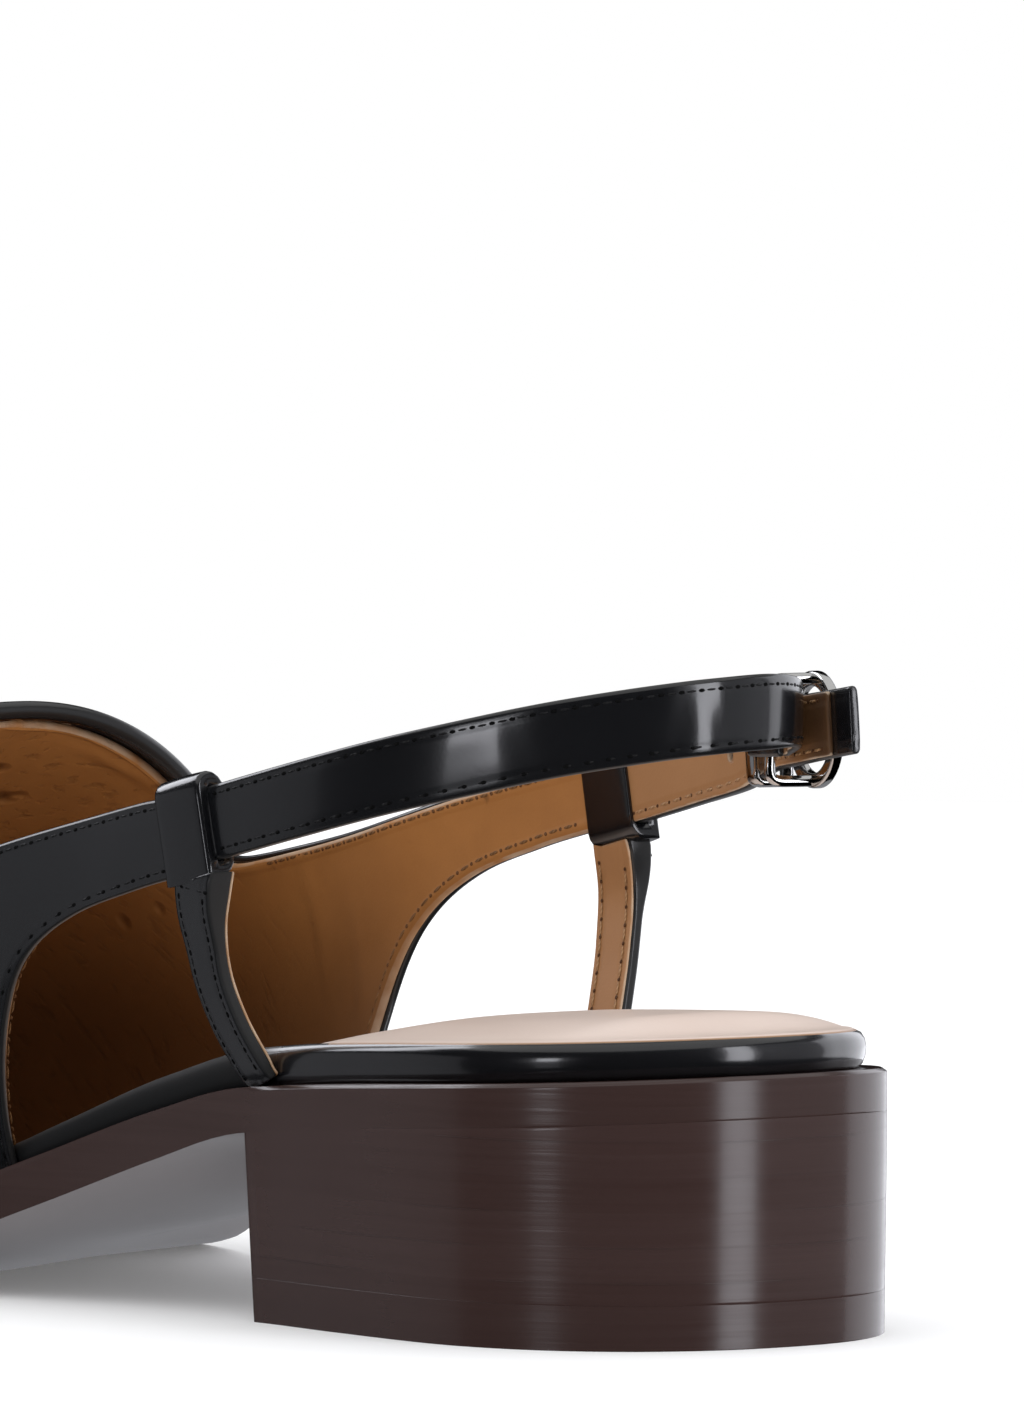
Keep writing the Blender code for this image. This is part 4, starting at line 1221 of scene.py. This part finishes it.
def sweep(name, frames, section_at, finish, end_round=0.25):
    """Strap or wire through frames, with softly rounded ends; section_at gives a section for a share."""
    last = len(frames) - 1
    stations = [(i / last, *frames[i], 0.0) for i in range(last + 1)]
    for index, sign in ((0, -1.0), (-1, 1.0)):
        share, point, tangent, across, upright, _ = stations[index]
        cap = []
        for i in range(1, 4):
            angle = 0.5 * math.pi * i / 3
            moved = point + tangent * (sign * end_round * (math.sin(angle) - 1.0))
            cap.append((share, moved, tangent, across, upright, end_round * (1.0 - math.cos(angle))))
        pulled = (share, point - tangent * (sign * end_round), tangent, across, upright, 0.0)
        stations = cap[::-1] + [pulled] + stations[1:] if index == 0 else stations[:-1] + [pulled] + cap
    rings, margins = [], []
    for share, point, _, across, upright, shrink in stations:
        section = section_at(share)
        middle = sum(a for a, _, _ in section) / len(section)
        reach_a = max(abs(a - middle) for a, _, _ in section)
        reach_b = max(abs(b) for _, b, _ in section)
        scale_a, scale_b = 1.0 - min(shrink / reach_a, 0.9), 1.0 - min(shrink / reach_b, 0.9)
        rings.append([point + across * (middle + (a - middle) * scale_a) + upright * (b * scale_b)
                      for a, b, _ in section])
        margins.append([margin for _, _, margin in section])
    mesh_data = bmesh.new()
    rows = skin(mesh_data, rings, True, margins)
    mesh_data.faces.new(rows[0])
    mesh_data.faces.new(rows[-1])
    return new_piece(name, mesh_data, finish)


def pared_size(shares):
    """Strap thickness and width, pared towards the end."""
    def size(share):
        pared = ease(*shares, share)
        return (STRAP_THICKNESS + (STRAP_END_THICKNESS - STRAP_THICKNESS) * pared,
                STRAP_WIDTH + (STRAP_END_WIDTH - STRAP_WIDTH) * pared)
    return size


def crease_depth(creases, share, b):
    """Depth of the soft troughs across a strap at a share of its length and a height across it."""
    return sum(depth * math.exp(-((share - middle - slant * b) / half) ** 2)
               for middle, depth, half, slant in creases)


def two_layer_strap(node, frames, size_at, outward, finishes, creases=(), turned_end=0):
    """Strap of black leather with a tan lining; outward is the side of the black face."""
    def leather_section(share):
        thickness, width = size_at(share)
        low, high = STRAP_LINING - 0.5 * thickness, 0.5 * thickness
        section = [(a - crease_depth(creases, share, b) if a > 0.0 else a, b, margin)
                   for a, b, margin in flat_section(low, high, 0.5 * width, LEATHER_CORNER, STRAP_CROWN)]
        return [(outward * a, b * outward, margin) for a, b, margin in section]

    def lining_section(share):
        thickness, width = size_at(share)
        low, high = -0.5 * thickness, STRAP_LINING - 0.5 * thickness + LAP
        section = flat_section(low, high, 0.5 * width - STRAP_LINING_INSET, STRAP_LINING_CORNER)
        return [(outward * a, b * outward, margin) for a, b, margin in section]

    leather = sweep(node + "_leather", frames, leather_section, finishes["black"])
    lined = frames[:len(frames) - turned_end]
    lining = sweep(node + "_lining", lined, lining_section, finishes["strap_lining"])
    return dress(leather, "black_leather", node), dress(lining, None)


def edge_rows(frames, size_at, outward, inset, span, crown=0.0, rise_at=None):
    """Rows of stitches along both edges of a strap: points and normals at an inset from each edge."""
    last = len(frames) - 1
    rows = [[], []]
    for i, (point, _, across, upright) in enumerate(frames):
        share = i / last
        if span[0] <= share <= span[1]:
            thickness, width = size_at(share)
            for edge, row in zip((1.0, -1.0), rows):
                b = edge * (0.5 * width - inset)
                face = 0.5 * thickness + crown * (1.0 - (2.0 * b / width) ** 4)
                if rise_at:
                    face += rise_at(share, b * outward)
                row.append((point + across * (outward * face) + upright * b, across * outward))
    return rows


def stitch_tree():
    """Geometry Nodes tree: small marks spaced along polylines and laid flat on the leather."""
    tree = bpy.data.node_groups.new("stitch_row", "GeometryNodeTree")
    kinds = {"Rows": "NodeSocketGeometry", "Pitch": "NodeSocketFloat", "Mark Size": "NodeSocketVector",
             "Thread": "NodeSocketMaterial"}
    names = {}
    for name, kind in kinds.items():
        names[name] = tree.interface.new_socket(name, in_out="INPUT", socket_type=kind).identifier
    tree.interface.new_socket("Stitches", in_out="OUTPUT", socket_type="NodeSocketGeometry")

    def add(kind, **settings):
        node = tree.nodes.new(kind)
        for name, value in settings.items():
            setattr(node, name, value)
        return node

    def join(source, output, target, name):
        tree.links.new(source.outputs[output], target.inputs[name])

    inputs, outputs = add("NodeGroupInput"), add("NodeGroupOutput")
    curve = add("GeometryNodeMeshToCurve")
    spaced = add("GeometryNodeResampleCurve", mode="LENGTH")
    mark = add("GeometryNodeMeshUVSphere")
    mark.inputs["Segments"].default_value = 8
    mark.inputs["Rings"].default_value = 5
    normal = add("GeometryNodeInputNamedAttribute", data_type="FLOAT_VECTOR")
    normal.inputs["Name"].default_value = "surface_normal"
    tangent = add("GeometryNodeInputTangent")
    along = add("FunctionNodeAlignRotationToVector", axis="X")
    flat = add("FunctionNodeAlignRotationToVector", axis="Z", pivot_axis="X")
    marks = add("GeometryNodeInstanceOnPoints")
    real = add("GeometryNodeRealizeInstances")
    soft = add("GeometryNodeSetShadeSmooth")
    finish = add("GeometryNodeSetMaterial")
    join(inputs, "Rows", curve, "Mesh")
    join(curve, "Curve", spaced, "Curve")
    join(inputs, "Pitch", spaced, "Length")
    join(tangent, "Tangent", along, "Vector")
    join(along, "Rotation", flat, "Rotation")
    join(normal, "Attribute", flat, "Vector")
    join(spaced, "Curve", marks, "Points")
    join(mark, "Mesh", marks, "Instance")
    join(flat, "Rotation", marks, "Rotation")
    join(inputs, "Mark Size", marks, "Scale")
    join(marks, "Instances", real, "Geometry")
    join(real, "Geometry", soft, "Geometry")
    join(soft, "Geometry", finish, "Geometry")
    join(inputs, "Thread", finish, "Material")
    join(finish, "Geometry", outputs, "Stitches")
    return tree, names


def trim_row(row, start, pitch):
    """Cuts a row of (point, normal) to whole pitches, beginning at a distance from its start."""
    reach = [0.0]
    for (a, _), (b, _) in zip(row, row[1:]):
        reach.append(reach[-1] + (b - a).length)
    whole = start + pitch * math.floor((reach[-1] - start) / pitch - 1e-6)
    trimmed = []
    for target in (start, whole):
        k = next(i for i in range(len(row) - 1) if reach[i + 1] >= target - 1e-6)
        share = (target - reach[k]) / max(reach[k + 1] - reach[k], 1e-9)
        trimmed.append((k, row[k][0].lerp(row[k + 1][0], share), row[k][1].lerp(row[k + 1][1], share)))
    (first, start_point, start_normal), (last, end_point, end_normal) = trimmed
    return [(start_point, start_normal)] + row[first + 1:last + 1] + [(end_point, end_normal)]


def lay_marks(name, rows, start, pitch, size, finish, stitches):
    """One mesh of marks along rows, by the stitch tree."""
    tree, names = stitches
    points, normals, edges = [], [], []
    for row in rows:
        trimmed = trim_row(row, start, pitch)
        first = len(points)
        points += [place(point) for point, _ in trimmed]
        normals += [component for _, normal in trimmed for component in normal]
        edges += [(first + i, first + i + 1) for i in range(len(trimmed) - 1)]
    mesh = bpy.data.meshes.new(name)
    mesh.from_pydata(points, edges, [])
    mesh.attributes.new("surface_normal", "FLOAT_VECTOR", "POINT").data.foreach_set("vector", normals)
    piece = bpy.data.objects.new(name, mesh)
    modifier = piece.modifiers.new("stitches", "NODES")
    modifier.node_group = tree
    modifier[names["Pitch"]] = pitch * MM
    modifier[names["Mark Size"]] = tuple(0.5 * value * MM for value in size)
    modifier[names["Thread"]] = finish
    bpy.context.scene.collection.objects.link(piece)
    return dress(flatten_modifiers(piece), None)


def sew(name, rows, kind, finishes, stitches, pitch=STITCH_PITCH):
    """Black, tan or brown stitches along rows, with a dark mark of painted shade at a needle hole between
    each two.
    """
    lay_marks(name + "_thread", rows, 0.5 * pitch, pitch, THREAD_SIZE[kind],
              finishes[kind + "_thread"], stitches)
    # Dark marks of painted shade where the needle holes are
    lay_marks(name + "_needle_hole_shade", rows, 0.0, pitch, HOLE_SIZE[kind],
              finishes[kind + "_hole"], stitches)


def upper_row(line, side, depth, reach):
    """Row of stitches along a line on the upper, on its outside or at a depth on its inside."""
    row = []
    for x, q in even_steps([step for step in line if reach[0] < step[0] < reach[1]], side, 160):
        normal = upper_normal(x, side, q)
        row.append((upper_point(x, side, q) - normal * depth, -normal if depth else normal))
    return row


def make_upper(finishes, stitches):
    """Vamp and wings: black shell, tan lining with a wide black turn-in at the throat, stitching."""
    def leather_edge(point, side):
        return 0.0

    def lining_edge(point, side):
        return COLLAR_LINING_INSET + TURN_IN_WIDTH * turn_in(point.x, point.y)

    def band_edge(point, side):
        return WINDOW_LINING_INSET[side]

    leather = upper_shell("vamp_leather", leather_edge, leather_edge, 0.0, UPPER_WALL - LINING_THICKNESS,
                          finishes["black"], folded=LINING_THICKNESS)
    dress(leather, "black_leather", "upper")
    depth = UPPER_WALL - LINING_THICKNESS - LAP
    lining = upper_shell("vamp_lining", band_edge, lining_edge, depth, LINING_THICKNESS + LAP,
                         finishes["lining"], gathered=True)
    dress(lining, None)
    leather_rows, lining_rows = [], []
    for side in (OUTER, INNER):
        loop_front = LOOP_CENTRE_X[side] + 0.5 * LOOP_LENGTH[side] + STITCH_START
        collar = collar_line(side, lambda p, s: LEATHER_ROW)
        window = window_line(side, lambda p, s: LEATHER_ROW)
        leather_rows += [upper_row(collar, side, 0.0, (loop_front, SHOE_LENGTH)),
                         upper_row(window, side, 0.0, (loop_front, SHOE_LENGTH))]
        collar = collar_line(side, lambda p, s: lining_edge(p, s) + LINING_ROW - COLLAR_LINING_INSET)
        window = window_line(side, lambda p, s: LINING_ROW)
        lining_rows += [upper_row(collar, side, UPPER_WALL, (loop_front, TURN_IN_XS[0])),
                        upper_row(window, side, UPPER_WALL, (loop_front, SHOE_LENGTH))]
    sew("vamp_stitches", leather_rows, "black", finishes, stitches)
    sew("lining_stitches", lining_rows, "brown", finishes, stitches)


def loop_frame(strap_path, side):
    """Middle and directions of the loop that the heel strap leaves from."""
    start = Vector(strap_path[0])
    along = (start - Vector(strap_path[1])).normalized()
    across = along.cross(UP).normalized()
    centre = start + along * ((LOOP_CENTRE_X[side] - start.x) / along.x)
    return centre, along, across, across.cross(along)


def square_up(section, half_t, half_w, radius, outward):
    """Fills the rounded lower corner on the outward side of a section out to a square one."""
    filled = []
    for a, b, margin in section:
        along_a, along_b = outward * a - (half_t - radius), -b - (half_w - radius)
        if along_a > 0.0 and along_b > 0.0:
            grow = radius / max(along_a, along_b)
            a, b = outward * (half_t - radius + along_a * grow), radius - half_w - along_b * grow
        filled.append((a, b, margin))
    return filled


def wrap(name, middle, length, half_t, half_w, wall, corner, finish, joined=0.0):
    """Sleeve with rounded mouths round a strap; joined is the side that runs on down into a T-strap."""
    centre, along, across, upright = middle
    half = 0.5 * length
    edge = min(0.45 * wall, 0.5)
    profile = []
    for i in range(9):
        s = 2.0 * i / 8 - 1.0
        profile.append((s * (half - edge), wall + SLEEVE_SWELL * (1.0 - s * s)))
    for i in range(1, 5):
        angle = 0.5 * math.pi * i / 4
        profile.append((half - edge * (1.0 - math.sin(angle)), wall - edge * (1.0 - math.cos(angle))))
    profile.append((half, edge))
    profile += [(half - edge, 0.0), (edge - half, 0.0), (-half, edge)]
    for i in range(4, 0, -1):
        angle = 0.5 * math.pi * i / 4
        profile.append((edge * (1.0 - math.sin(angle)) - half, wall - edge * (1.0 - math.cos(angle))))
    rings = []
    for offset, grow in profile:
        outside, inside = half_t + grow, half_t + grow * (LOOP_INNER_PLY if joined else 1.0)
        low, high = (-inside, outside) if joined > 0.0 else (-outside, inside)
        section = flat_section(low, high, half_w + grow, corner + grow, 0.0, 8)
        if joined:
            section = square_up(section, half_t + grow, half_w + grow, corner + grow, joined)
        rings.append([centre + along * offset + across * a + upright * b for a, b, _ in section])
    mesh_data = bmesh.new()
    skin(mesh_data, rings + [rings[0]], True)
    return new_piece(name, mesh_data, finish)


def t_strap_frames(side, loop):
    """Frames of a T-strap, from under its loop down to the sole."""
    centre, along, loop_across, upright = loop
    head = centre - upright * (LOOP_HALF_HEIGHT + LOOP_WALL - T_STRAP_TUCK) - along * T_STRAP_HEAD_BACK[side]
    foot_height = T_STRAP_PATH[-1][0]
    stretch = (head.z - GAP - foot_height) / (T_STRAP_HEAD - foot_height)
    rows = [tuple(head)]
    for z, *places in T_STRAP_PATH:
        x, y = places[:2] if side == OUTER else places[2:]
        rows.append((x, side * y, foot_height + (z - foot_height) * stretch))
    frames = [(head, -upright, loop_across, along)]
    for point, tangent, _, _ in frames_along(smooth_path(rows, 14))[1:]:
        across = tangent.cross(FORWARD).normalized()
        frames.append((point, tangent, across, across.cross(tangent)))
    return frames


def t_strap_flush(share, b=0.0):
    """How far the face of a T-strap stands out at its head, where it runs on from the loop's wall."""
    proud = LOOP_HALF_THICKNESS + LOOP_WALL - 0.5 * T_STRAP_THICKNESS
    return proud * (1.0 - ease(0.0, T_STRAP_FLUSH_SHARE, share))


def make_t_strap(name, side, frames, finishes):
    """T-strap of black leather with a thin tan lining; gives its rows of stitches outside and inside."""
    outward = -side

    def size_at(share):
        pared = ease(*T_STRAP_FOOT_SHARES, share)
        narrowing = ease(0.0, T_STRAP_NECK_SHARE, share)
        return (T_STRAP_THICKNESS + (T_STRAP_FOOT_THICKNESS - T_STRAP_THICKNESS) * pared,
                T_STRAP_HEAD_WIDTH + (T_STRAP_WIDTH[side] - T_STRAP_HEAD_WIDTH) * narrowing)

    def leather_section(share):
        thickness, width = size_at(share)
        low, high = T_LINING - 0.5 * thickness, 0.5 * thickness + t_strap_flush(share)
        section = flat_section(low, high, 0.5 * width, LEATHER_CORNER, T_STRAP_CROWN)
        return [(outward * a, outward * b, margin) for a, b, margin in section]

    def lining_section(share):
        thickness, width = size_at(share)
        low, high = -0.5 * thickness, T_LINING + LAP - 0.5 * thickness
        section = flat_section(low, high, 0.5 * width - T_LINING_INSET, T_LINING_CORNER)
        return [(outward * a, outward * b, margin) for a, b, margin in section]

    dress(sweep(name + "_leather", frames, leather_section, finishes[name]), "black_leather", name)
    dress(sweep(name + "_lining", frames, lining_section, finishes["strap_lining"]), None)
    leather_rows = edge_rows(frames, size_at, outward, LEATHER_ROW, T_STITCHED, T_STRAP_CROWN, t_strap_flush)
    lining_rows = edge_rows(frames, size_at, -outward, LINING_ROW, T_LINING_STITCHED, T_STRAP_CROWN)
    point, _, across, upright = frames[CROSS_STITCH_FRAME]
    share = CROSS_STITCH_FRAME / (len(frames) - 1)
    face = 0.5 * T_STRAP_THICKNESS + t_strap_flush(share) + CROSS_STITCH_RISE
    middle = point + across * (outward * face)
    reach = 0.5 * T_STRAP_HEAD_WIDTH - CROSS_STITCH_INSET
    cross_row = [(middle + upright * (reach * (i / 4.0 - 1.0)), across * outward) for i in range(9)]
    return leather_rows + [cross_row], lining_rows


def make_side_straps(finishes, stitches):
    """Loops on the wings and the T-straps that hold them to the sole."""
    leather_rows, lining_rows = [], []
    for side, label, strap_path in ((OUTER, "outer", OUTER_STRAP_PATH), (INNER, "inner", INNER_STRAP_PATH)):
        middle = loop_frame(strap_path, side)
        loop = wrap("strap_loop_" + label + "_leather", middle, LOOP_LENGTH[side],
                    LOOP_HALF_THICKNESS - LOOP_SNUG, LOOP_HALF_HEIGHT - LOOP_SNUG, LOOP_WALL + LOOP_SNUG,
                    LOOP_CORNER, finishes["black"], -side)
        dress(loop, "black_leather", "strap_loop_" + label)
        outside, inside = make_t_strap("t_strap_" + label, side, t_strap_frames(side, middle), finishes)
        leather_rows += outside
        lining_rows += inside
    sew("t_strap_stitches", leather_rows, "black", finishes, stitches, T_STRAP_PITCH)
    sew("t_strap_lining_stitches", lining_rows, "tan", finishes, stitches, T_STRAP_PITCH)


def buckle_point(forward_by, outward_by, up_by):
    """Point near the buckle, measured from the middle of the strap that passes through it."""
    return BUCKLE_CENTRE + BUCKLE_FORWARD * forward_by + BUCKLE_OUTWARD * outward_by + UP * up_by


def punch(pieces, frames, shares):
    """Round holes through the layers of a strap."""
    cutter_data = bmesh.new()
    for share in shares:
        point, _, across, upright = frames[round(share * (len(frames) - 1))]
        turn = across.to_track_quat("Z", "Y").to_matrix().to_4x4()
        bmesh.ops.create_cone(cutter_data, cap_ends=True, segments=20, radius1=PUNCH_RADIUS * MM,
                              radius2=PUNCH_RADIUS * MM, depth=PUNCH_LENGTH * MM,
                              matrix=Matrix.Translation(place(point)) @ turn)
    cutter = new_piece("punch", cutter_data, pieces[0].data.materials[0])
    for piece in pieces:
        hole = piece.modifiers.new("punched_holes", "BOOLEAN")
        hole.operation = "DIFFERENCE"
        hole.object = cutter
        hole.solver = "EXACT"
        flatten_modifiers(piece)
    bpy.data.objects.remove(cutter)


def make_heel_straps(finishes, stitches):
    """Outer strap round the heel, folded round the buckle bar, and inner strap with its punched tail."""
    steps, fold_steps = 12, 18
    leg_end = buckle_point(0.0, FOLD_LEG, FOLD_RISE)
    path = smooth_path(list(OUTER_STRAP_PATH) + [tuple(leg_end)], steps)
    for i in range(1, fold_steps + 1):
        angle = math.pi * i / fold_steps
        outward_by = BAR_OUTWARD + FOLD_RADIUS * math.cos(angle)
        path.append(buckle_point(FOLD_RADIUS * math.sin(angle), outward_by, FOLD_RISE))
    for forward_by, outward_by, up_by in FOLD_END:
        end = buckle_point(forward_by, BAR_OUTWARD - FOLD_RADIUS + outward_by, FOLD_RISE + up_by)
        start = path[-1]
        path += [start.lerp(end, i / 3.0) for i in range(1, 4)]
    frames = frames_along(path)
    size_at = pared_size(OUTER_PARED_SHARES)
    two_layer_strap("heel_strap_outer", frames, size_at, 1.0, finishes, STRAP_CREASES)
    rows = edge_rows(frames, size_at, 1.0, LEATHER_ROW, OUTER_STITCHED, STRAP_CROWN,
                     lambda share, b: -crease_depth(STRAP_CREASES, share, b))
    lining_rows = edge_rows(frames, size_at, -1.0, LEATHER_ROW, OUTER_LINING_STITCHED)

    tail_end = BUCKLE_CENTRE + TAIL_DIRECTION * TAIL_LENGTH
    lead = BUCKLE_CENTRE - TAIL_DIRECTION * BUCKLE_LEAD
    inner_rows = list(INNER_STRAP_PATH) + [tuple(lead), tuple(BUCKLE_CENTRE), tuple(tail_end)]
    frames = frames_along(smooth_path(inner_rows, steps))
    size_at = pared_size(INNER_PARED_SHARES)
    layers = two_layer_strap("heel_strap_inner", frames, size_at, -1.0, finishes, turned_end=TAIL_TURN_IN)
    punch(layers, frames, PUNCH_SHARES)
    rows += edge_rows(frames, size_at, -1.0, LEATHER_ROW, INNER_STITCHED, STRAP_CROWN)
    lining_rows += edge_rows(frames, size_at, 1.0, LEATHER_ROW, INNER_LINING_STITCHED)
    sew("heel_strap_stitches", rows, "black", finishes, stitches, STRAP_PITCH)
    sew("strap_lining_stitches", lining_rows, "tan", finishes, stitches, STRAP_PITCH)


def wire_frames(points):
    """Frames along a wire, kept from twisting."""
    across = (points[1] - points[0]).orthogonal()
    frames = []
    for i, point in enumerate(points):
        tangent = (points[min(i + 1, len(points) - 1)] - points[max(i - 1, 0)]).normalized()
        across = (across - tangent * across.dot(tangent)).normalized()
        frames.append((point, tangent, across, tangent.cross(across)))
    return frames


def round_section(radius):
    """Section of a round wire."""
    angles = [2.0 * math.pi * k / WIRE_SIDES for k in range(WIRE_SIDES)]
    return [(radius * math.cos(a), radius * math.sin(a), NO_MARGIN) for a in angles]


def make_buckle(finishes):
    """Flat round buckle with its bar, the prong over it, and the metal keeper on the strap."""
    metal = finishes["metal"]
    centre = buckle_point(0.0, RING_OUTWARD, RING_RISE)
    half_axial = RING_BAND * RING_FLATNESS
    section = flat_section(-half_axial, half_axial, RING_BAND, RING_CORNER, face_steps=4)
    rings = []
    for k in range(RING_STEPS + 1):
        angle = 2.0 * math.pi * k / RING_STEPS
        spoke = BUCKLE_FORWARD * math.cos(angle) + UP * math.sin(angle)
        rings.append([centre + spoke * (RING_RADIUS + b) + BUCKLE_OUTWARD * a for a, b, _ in section])
    mesh_data = bmesh.new()
    skin(mesh_data, rings, True)
    ring = new_piece("buckle_ring", mesh_data, metal)
    dress(ring, "polished_metal", "buckle_frame")
    inset = BAR_OUTWARD - RING_OUTWARD
    bar_shape = list(BAR_SHAPE) + [(-radius_share, share) for radius_share, share in reversed(BAR_SHAPE)]
    bar_rows = [tuple(centre + UP * (RING_RADIUS * radius_share) + BUCKLE_OUTWARD * (inset * share))
                for radius_share, share in bar_shape]
    bar = sweep("buckle_bar", wire_frames(smooth_path(bar_rows, 5)),
                lambda share: round_section(BAR_RADIUS), metal)
    dress(bar, "polished_metal")
    over_strap = 0.5 * STRAP_THICKNESS + GAP + PRONG_RADIUS
    over_ring = RING_OUTWARD + half_axial + GAP + PRONG_RADIUS
    prong_rows = []
    for radii, share in PRONG_SHAPE:
        outward_by = over_strap + (over_ring - over_strap) * share
        prong_rows.append(tuple(buckle_point(RING_RADIUS * radii, outward_by, PRONG_RISE)))
    prong = sweep("buckle_tongue", wire_frames(smooth_path(prong_rows, 8)),
                  lambda share: round_section(PRONG_RADIUS * (1.0 - PRONG_TAPER * share)), metal)
    dress(prong, "polished_metal", "buckle_prong")
    middle = BUCKLE_CENTRE - TAIL_DIRECTION * (KEEPER_START + 0.5 * KEEPER_LENGTH)
    around = frames_along([middle, middle - TAIL_DIRECTION])[0]
    keeper = wrap("strap_keeper_band", around, KEEPER_LENGTH, 0.5 * STRAP_THICKNESS + 2.0 * GAP,
                  0.5 * STRAP_WIDTH + 2.0 * GAP, KEEPER_WALL, KEEPER_CORNER, metal)
    dress(keeper, "polished_metal", "strap_keeper")


def make_finishes():
    """Every material of the shoe."""
    heel_brown = colour(0.028, 0.0145, 0.0125)
    finishes = {
        "black": black_leather("black_leather"),
        "rand": black_leather("rand_leather", arch_dullness=1.0),
        "t_strap_outer": black_leather("dull_edged_leather", edge_dullness=0.48),
        "t_strap_inner": black_leather("t_strap_leather"),
        "lining": tan_lining("vamp_lining", colour(0.31, 0.121, 0.027), colour(0.5, 0.212, 0.054),
                             roughness=0.6, depths=0.78, tail_shade=0.0),
        "strap_lining": tan_lining("strap_lining", colour(0.28, 0.129, 0.047), colour(0.4, 0.197, 0.08),
                                   roughness=0.5, depths=0.0, tail_shade=0.8),
        "insole": insole_leather(),
        "stack": stacked_leather("stacked_heel", 3.9, heel_brown, colour(0.045, 0.0255, 0.023),
                                 roughness=0.18, lines=0.3),
        "sole": sole_leather(),
        "rubber": stacked_leather("heel_rubber", 5.0, heel_brown, colour(0.043, 0.024, 0.0215),
                                  roughness=0.2, lines=0.0),
        "metal": polished_metal(),
    }
    for name, low, high, roughness in THREADS:
        finishes[name] = thread(name, colour(*low), colour(*high), roughness)
    return finishes


def make_camera():
    """Camera at the photograph's place."""
    sin_a, cos_a = math.sin(CAMERA_AZIMUTH), math.cos(CAMERA_AZIMUTH)
    sin_e, cos_e = math.sin(CAMERA_ELEVATION), math.cos(CAMERA_ELEVATION)
    back = Vector((-sin_a * cos_e, cos_a * cos_e, sin_e))
    right = Vector((-cos_a, -sin_a, 0.0))
    above = back.cross(right)
    data = bpy.data.cameras.new("photo_camera")
    data.sensor_width = SENSOR_WIDTH
    data.lens = FOCAL_PIXELS * SENSOR_WIDTH / IMAGE_HEIGHT
    data.clip_start, data.clip_end = 0.05, 200.0
    camera = bpy.data.objects.new("photo_camera", data)
    camera.matrix_world = Matrix((right, above, back)).transposed().to_4x4()
    camera.location = place(back * CAMERA_DISTANCE + right * CAMERA_ASIDE + above * CAMERA_ABOVE)
    bpy.context.scene.collection.objects.link(camera)
    bpy.context.scene.camera = camera


def softbox(name, outward, shift, width, height, brightness):
    """Rectangular light that faces the shoe, out of the picture itself."""
    data = bpy.data.lights.new(name, "AREA")
    data.shape = "RECTANGLE"
    data.size, data.size_y = width, height
    data.color = SOFTBOX_COLOUR
    data.energy = brightness * math.pi * width * height
    light = bpy.data.objects.new(name, data)
    light.location = outward * SOFTBOX_DISTANCE + shift
    light.rotation_euler = outward.to_track_quat("Z", "Y").to_euler()
    light.visible_camera = False
    bpy.context.scene.collection.objects.link(light)
    return light


def make_lights():
    """Overhead soft light, softboxes for the long highlights, and an even grey studio."""
    sun_data = bpy.data.lights.new("overhead", "SUN")
    sun_data.energy, sun_data.angle = OVERHEAD_STRENGTH, OVERHEAD_SPREAD
    sun = bpy.data.objects.new("overhead", sun_data)
    bpy.context.scene.collection.objects.link(sun)
    for name, azimuth, width, low, high, brightness in SOFTBOXES:
        outward = Vector((math.cos(math.radians(azimuth)), math.sin(math.radians(azimuth)), 0.0))
        softbox(name, outward, UP * (0.5 * (low + high)), width, high - low, brightness)
    rim = softbox("rim_panel", RIM_PANEL_DIRECTION, Vector(), RIM_PANEL_SIZE, RIM_PANEL_SIZE,
                  RIM_PANEL_BRIGHTNESS)
    rim.visible_diffuse = False
    world = bpy.data.worlds.new("studio")
    bpy.context.scene.world = world
    world.use_nodes = True
    tree = world.node_tree
    seen = Signal(tree, tree.nodes.new("ShaderNodeLightPath").outputs["Is Camera Ray"])
    studio = tint(seen, colour(0.8, 0.805, 0.82), colour(1.0, 1.0, 1.0))
    feed(tree.nodes["Background"], {"Color": studio})
    world.cycles_visibility.glossy = False
    bpy.context.scene.view_settings.view_transform = "Standard"


def make_floor():
    """Pale seamless floor, which runs out into the studio's white and stays out of the shoe's gloss."""
    material, shader, here = begin_finish("studio_floor")
    paper = noise(here, 3.0, 3.0)
    feed(shader, {"Base Color": tint(paper, colour(0.86, 0.86, 0.86), colour(0.88, 0.88, 0.88)),
                  "Roughness": 0.75, "Emission Color": colour(1.0, 1.0, 1.0), "Emission Strength": 0.12})
    mesh_data = bmesh.new()
    bmesh.ops.create_circle(mesh_data, cap_ends=True, segments=96, radius=FLOOR_RADIUS)
    mesh = bpy.data.meshes.new("studio_floor")
    mesh_data.to_mesh(mesh)
    mesh_data.free()
    mesh.materials.append(material)
    floor = bpy.data.objects.new("studio_floor", mesh)
    floor.visible_glossy = False
    bpy.context.scene.collection.objects.link(floor)


def main():
    """Dresses the shoe and sets up its studio."""
    finishes = make_finishes()
    stitches = stitch_tree()
    make_sole_pieces(finishes)
    make_upper(finishes, stitches)
    make_side_straps(finishes, stitches)
    make_heel_straps(finishes, stitches)
    make_buckle(finishes)
    make_floor()
    make_lights()
    make_camera()


main()
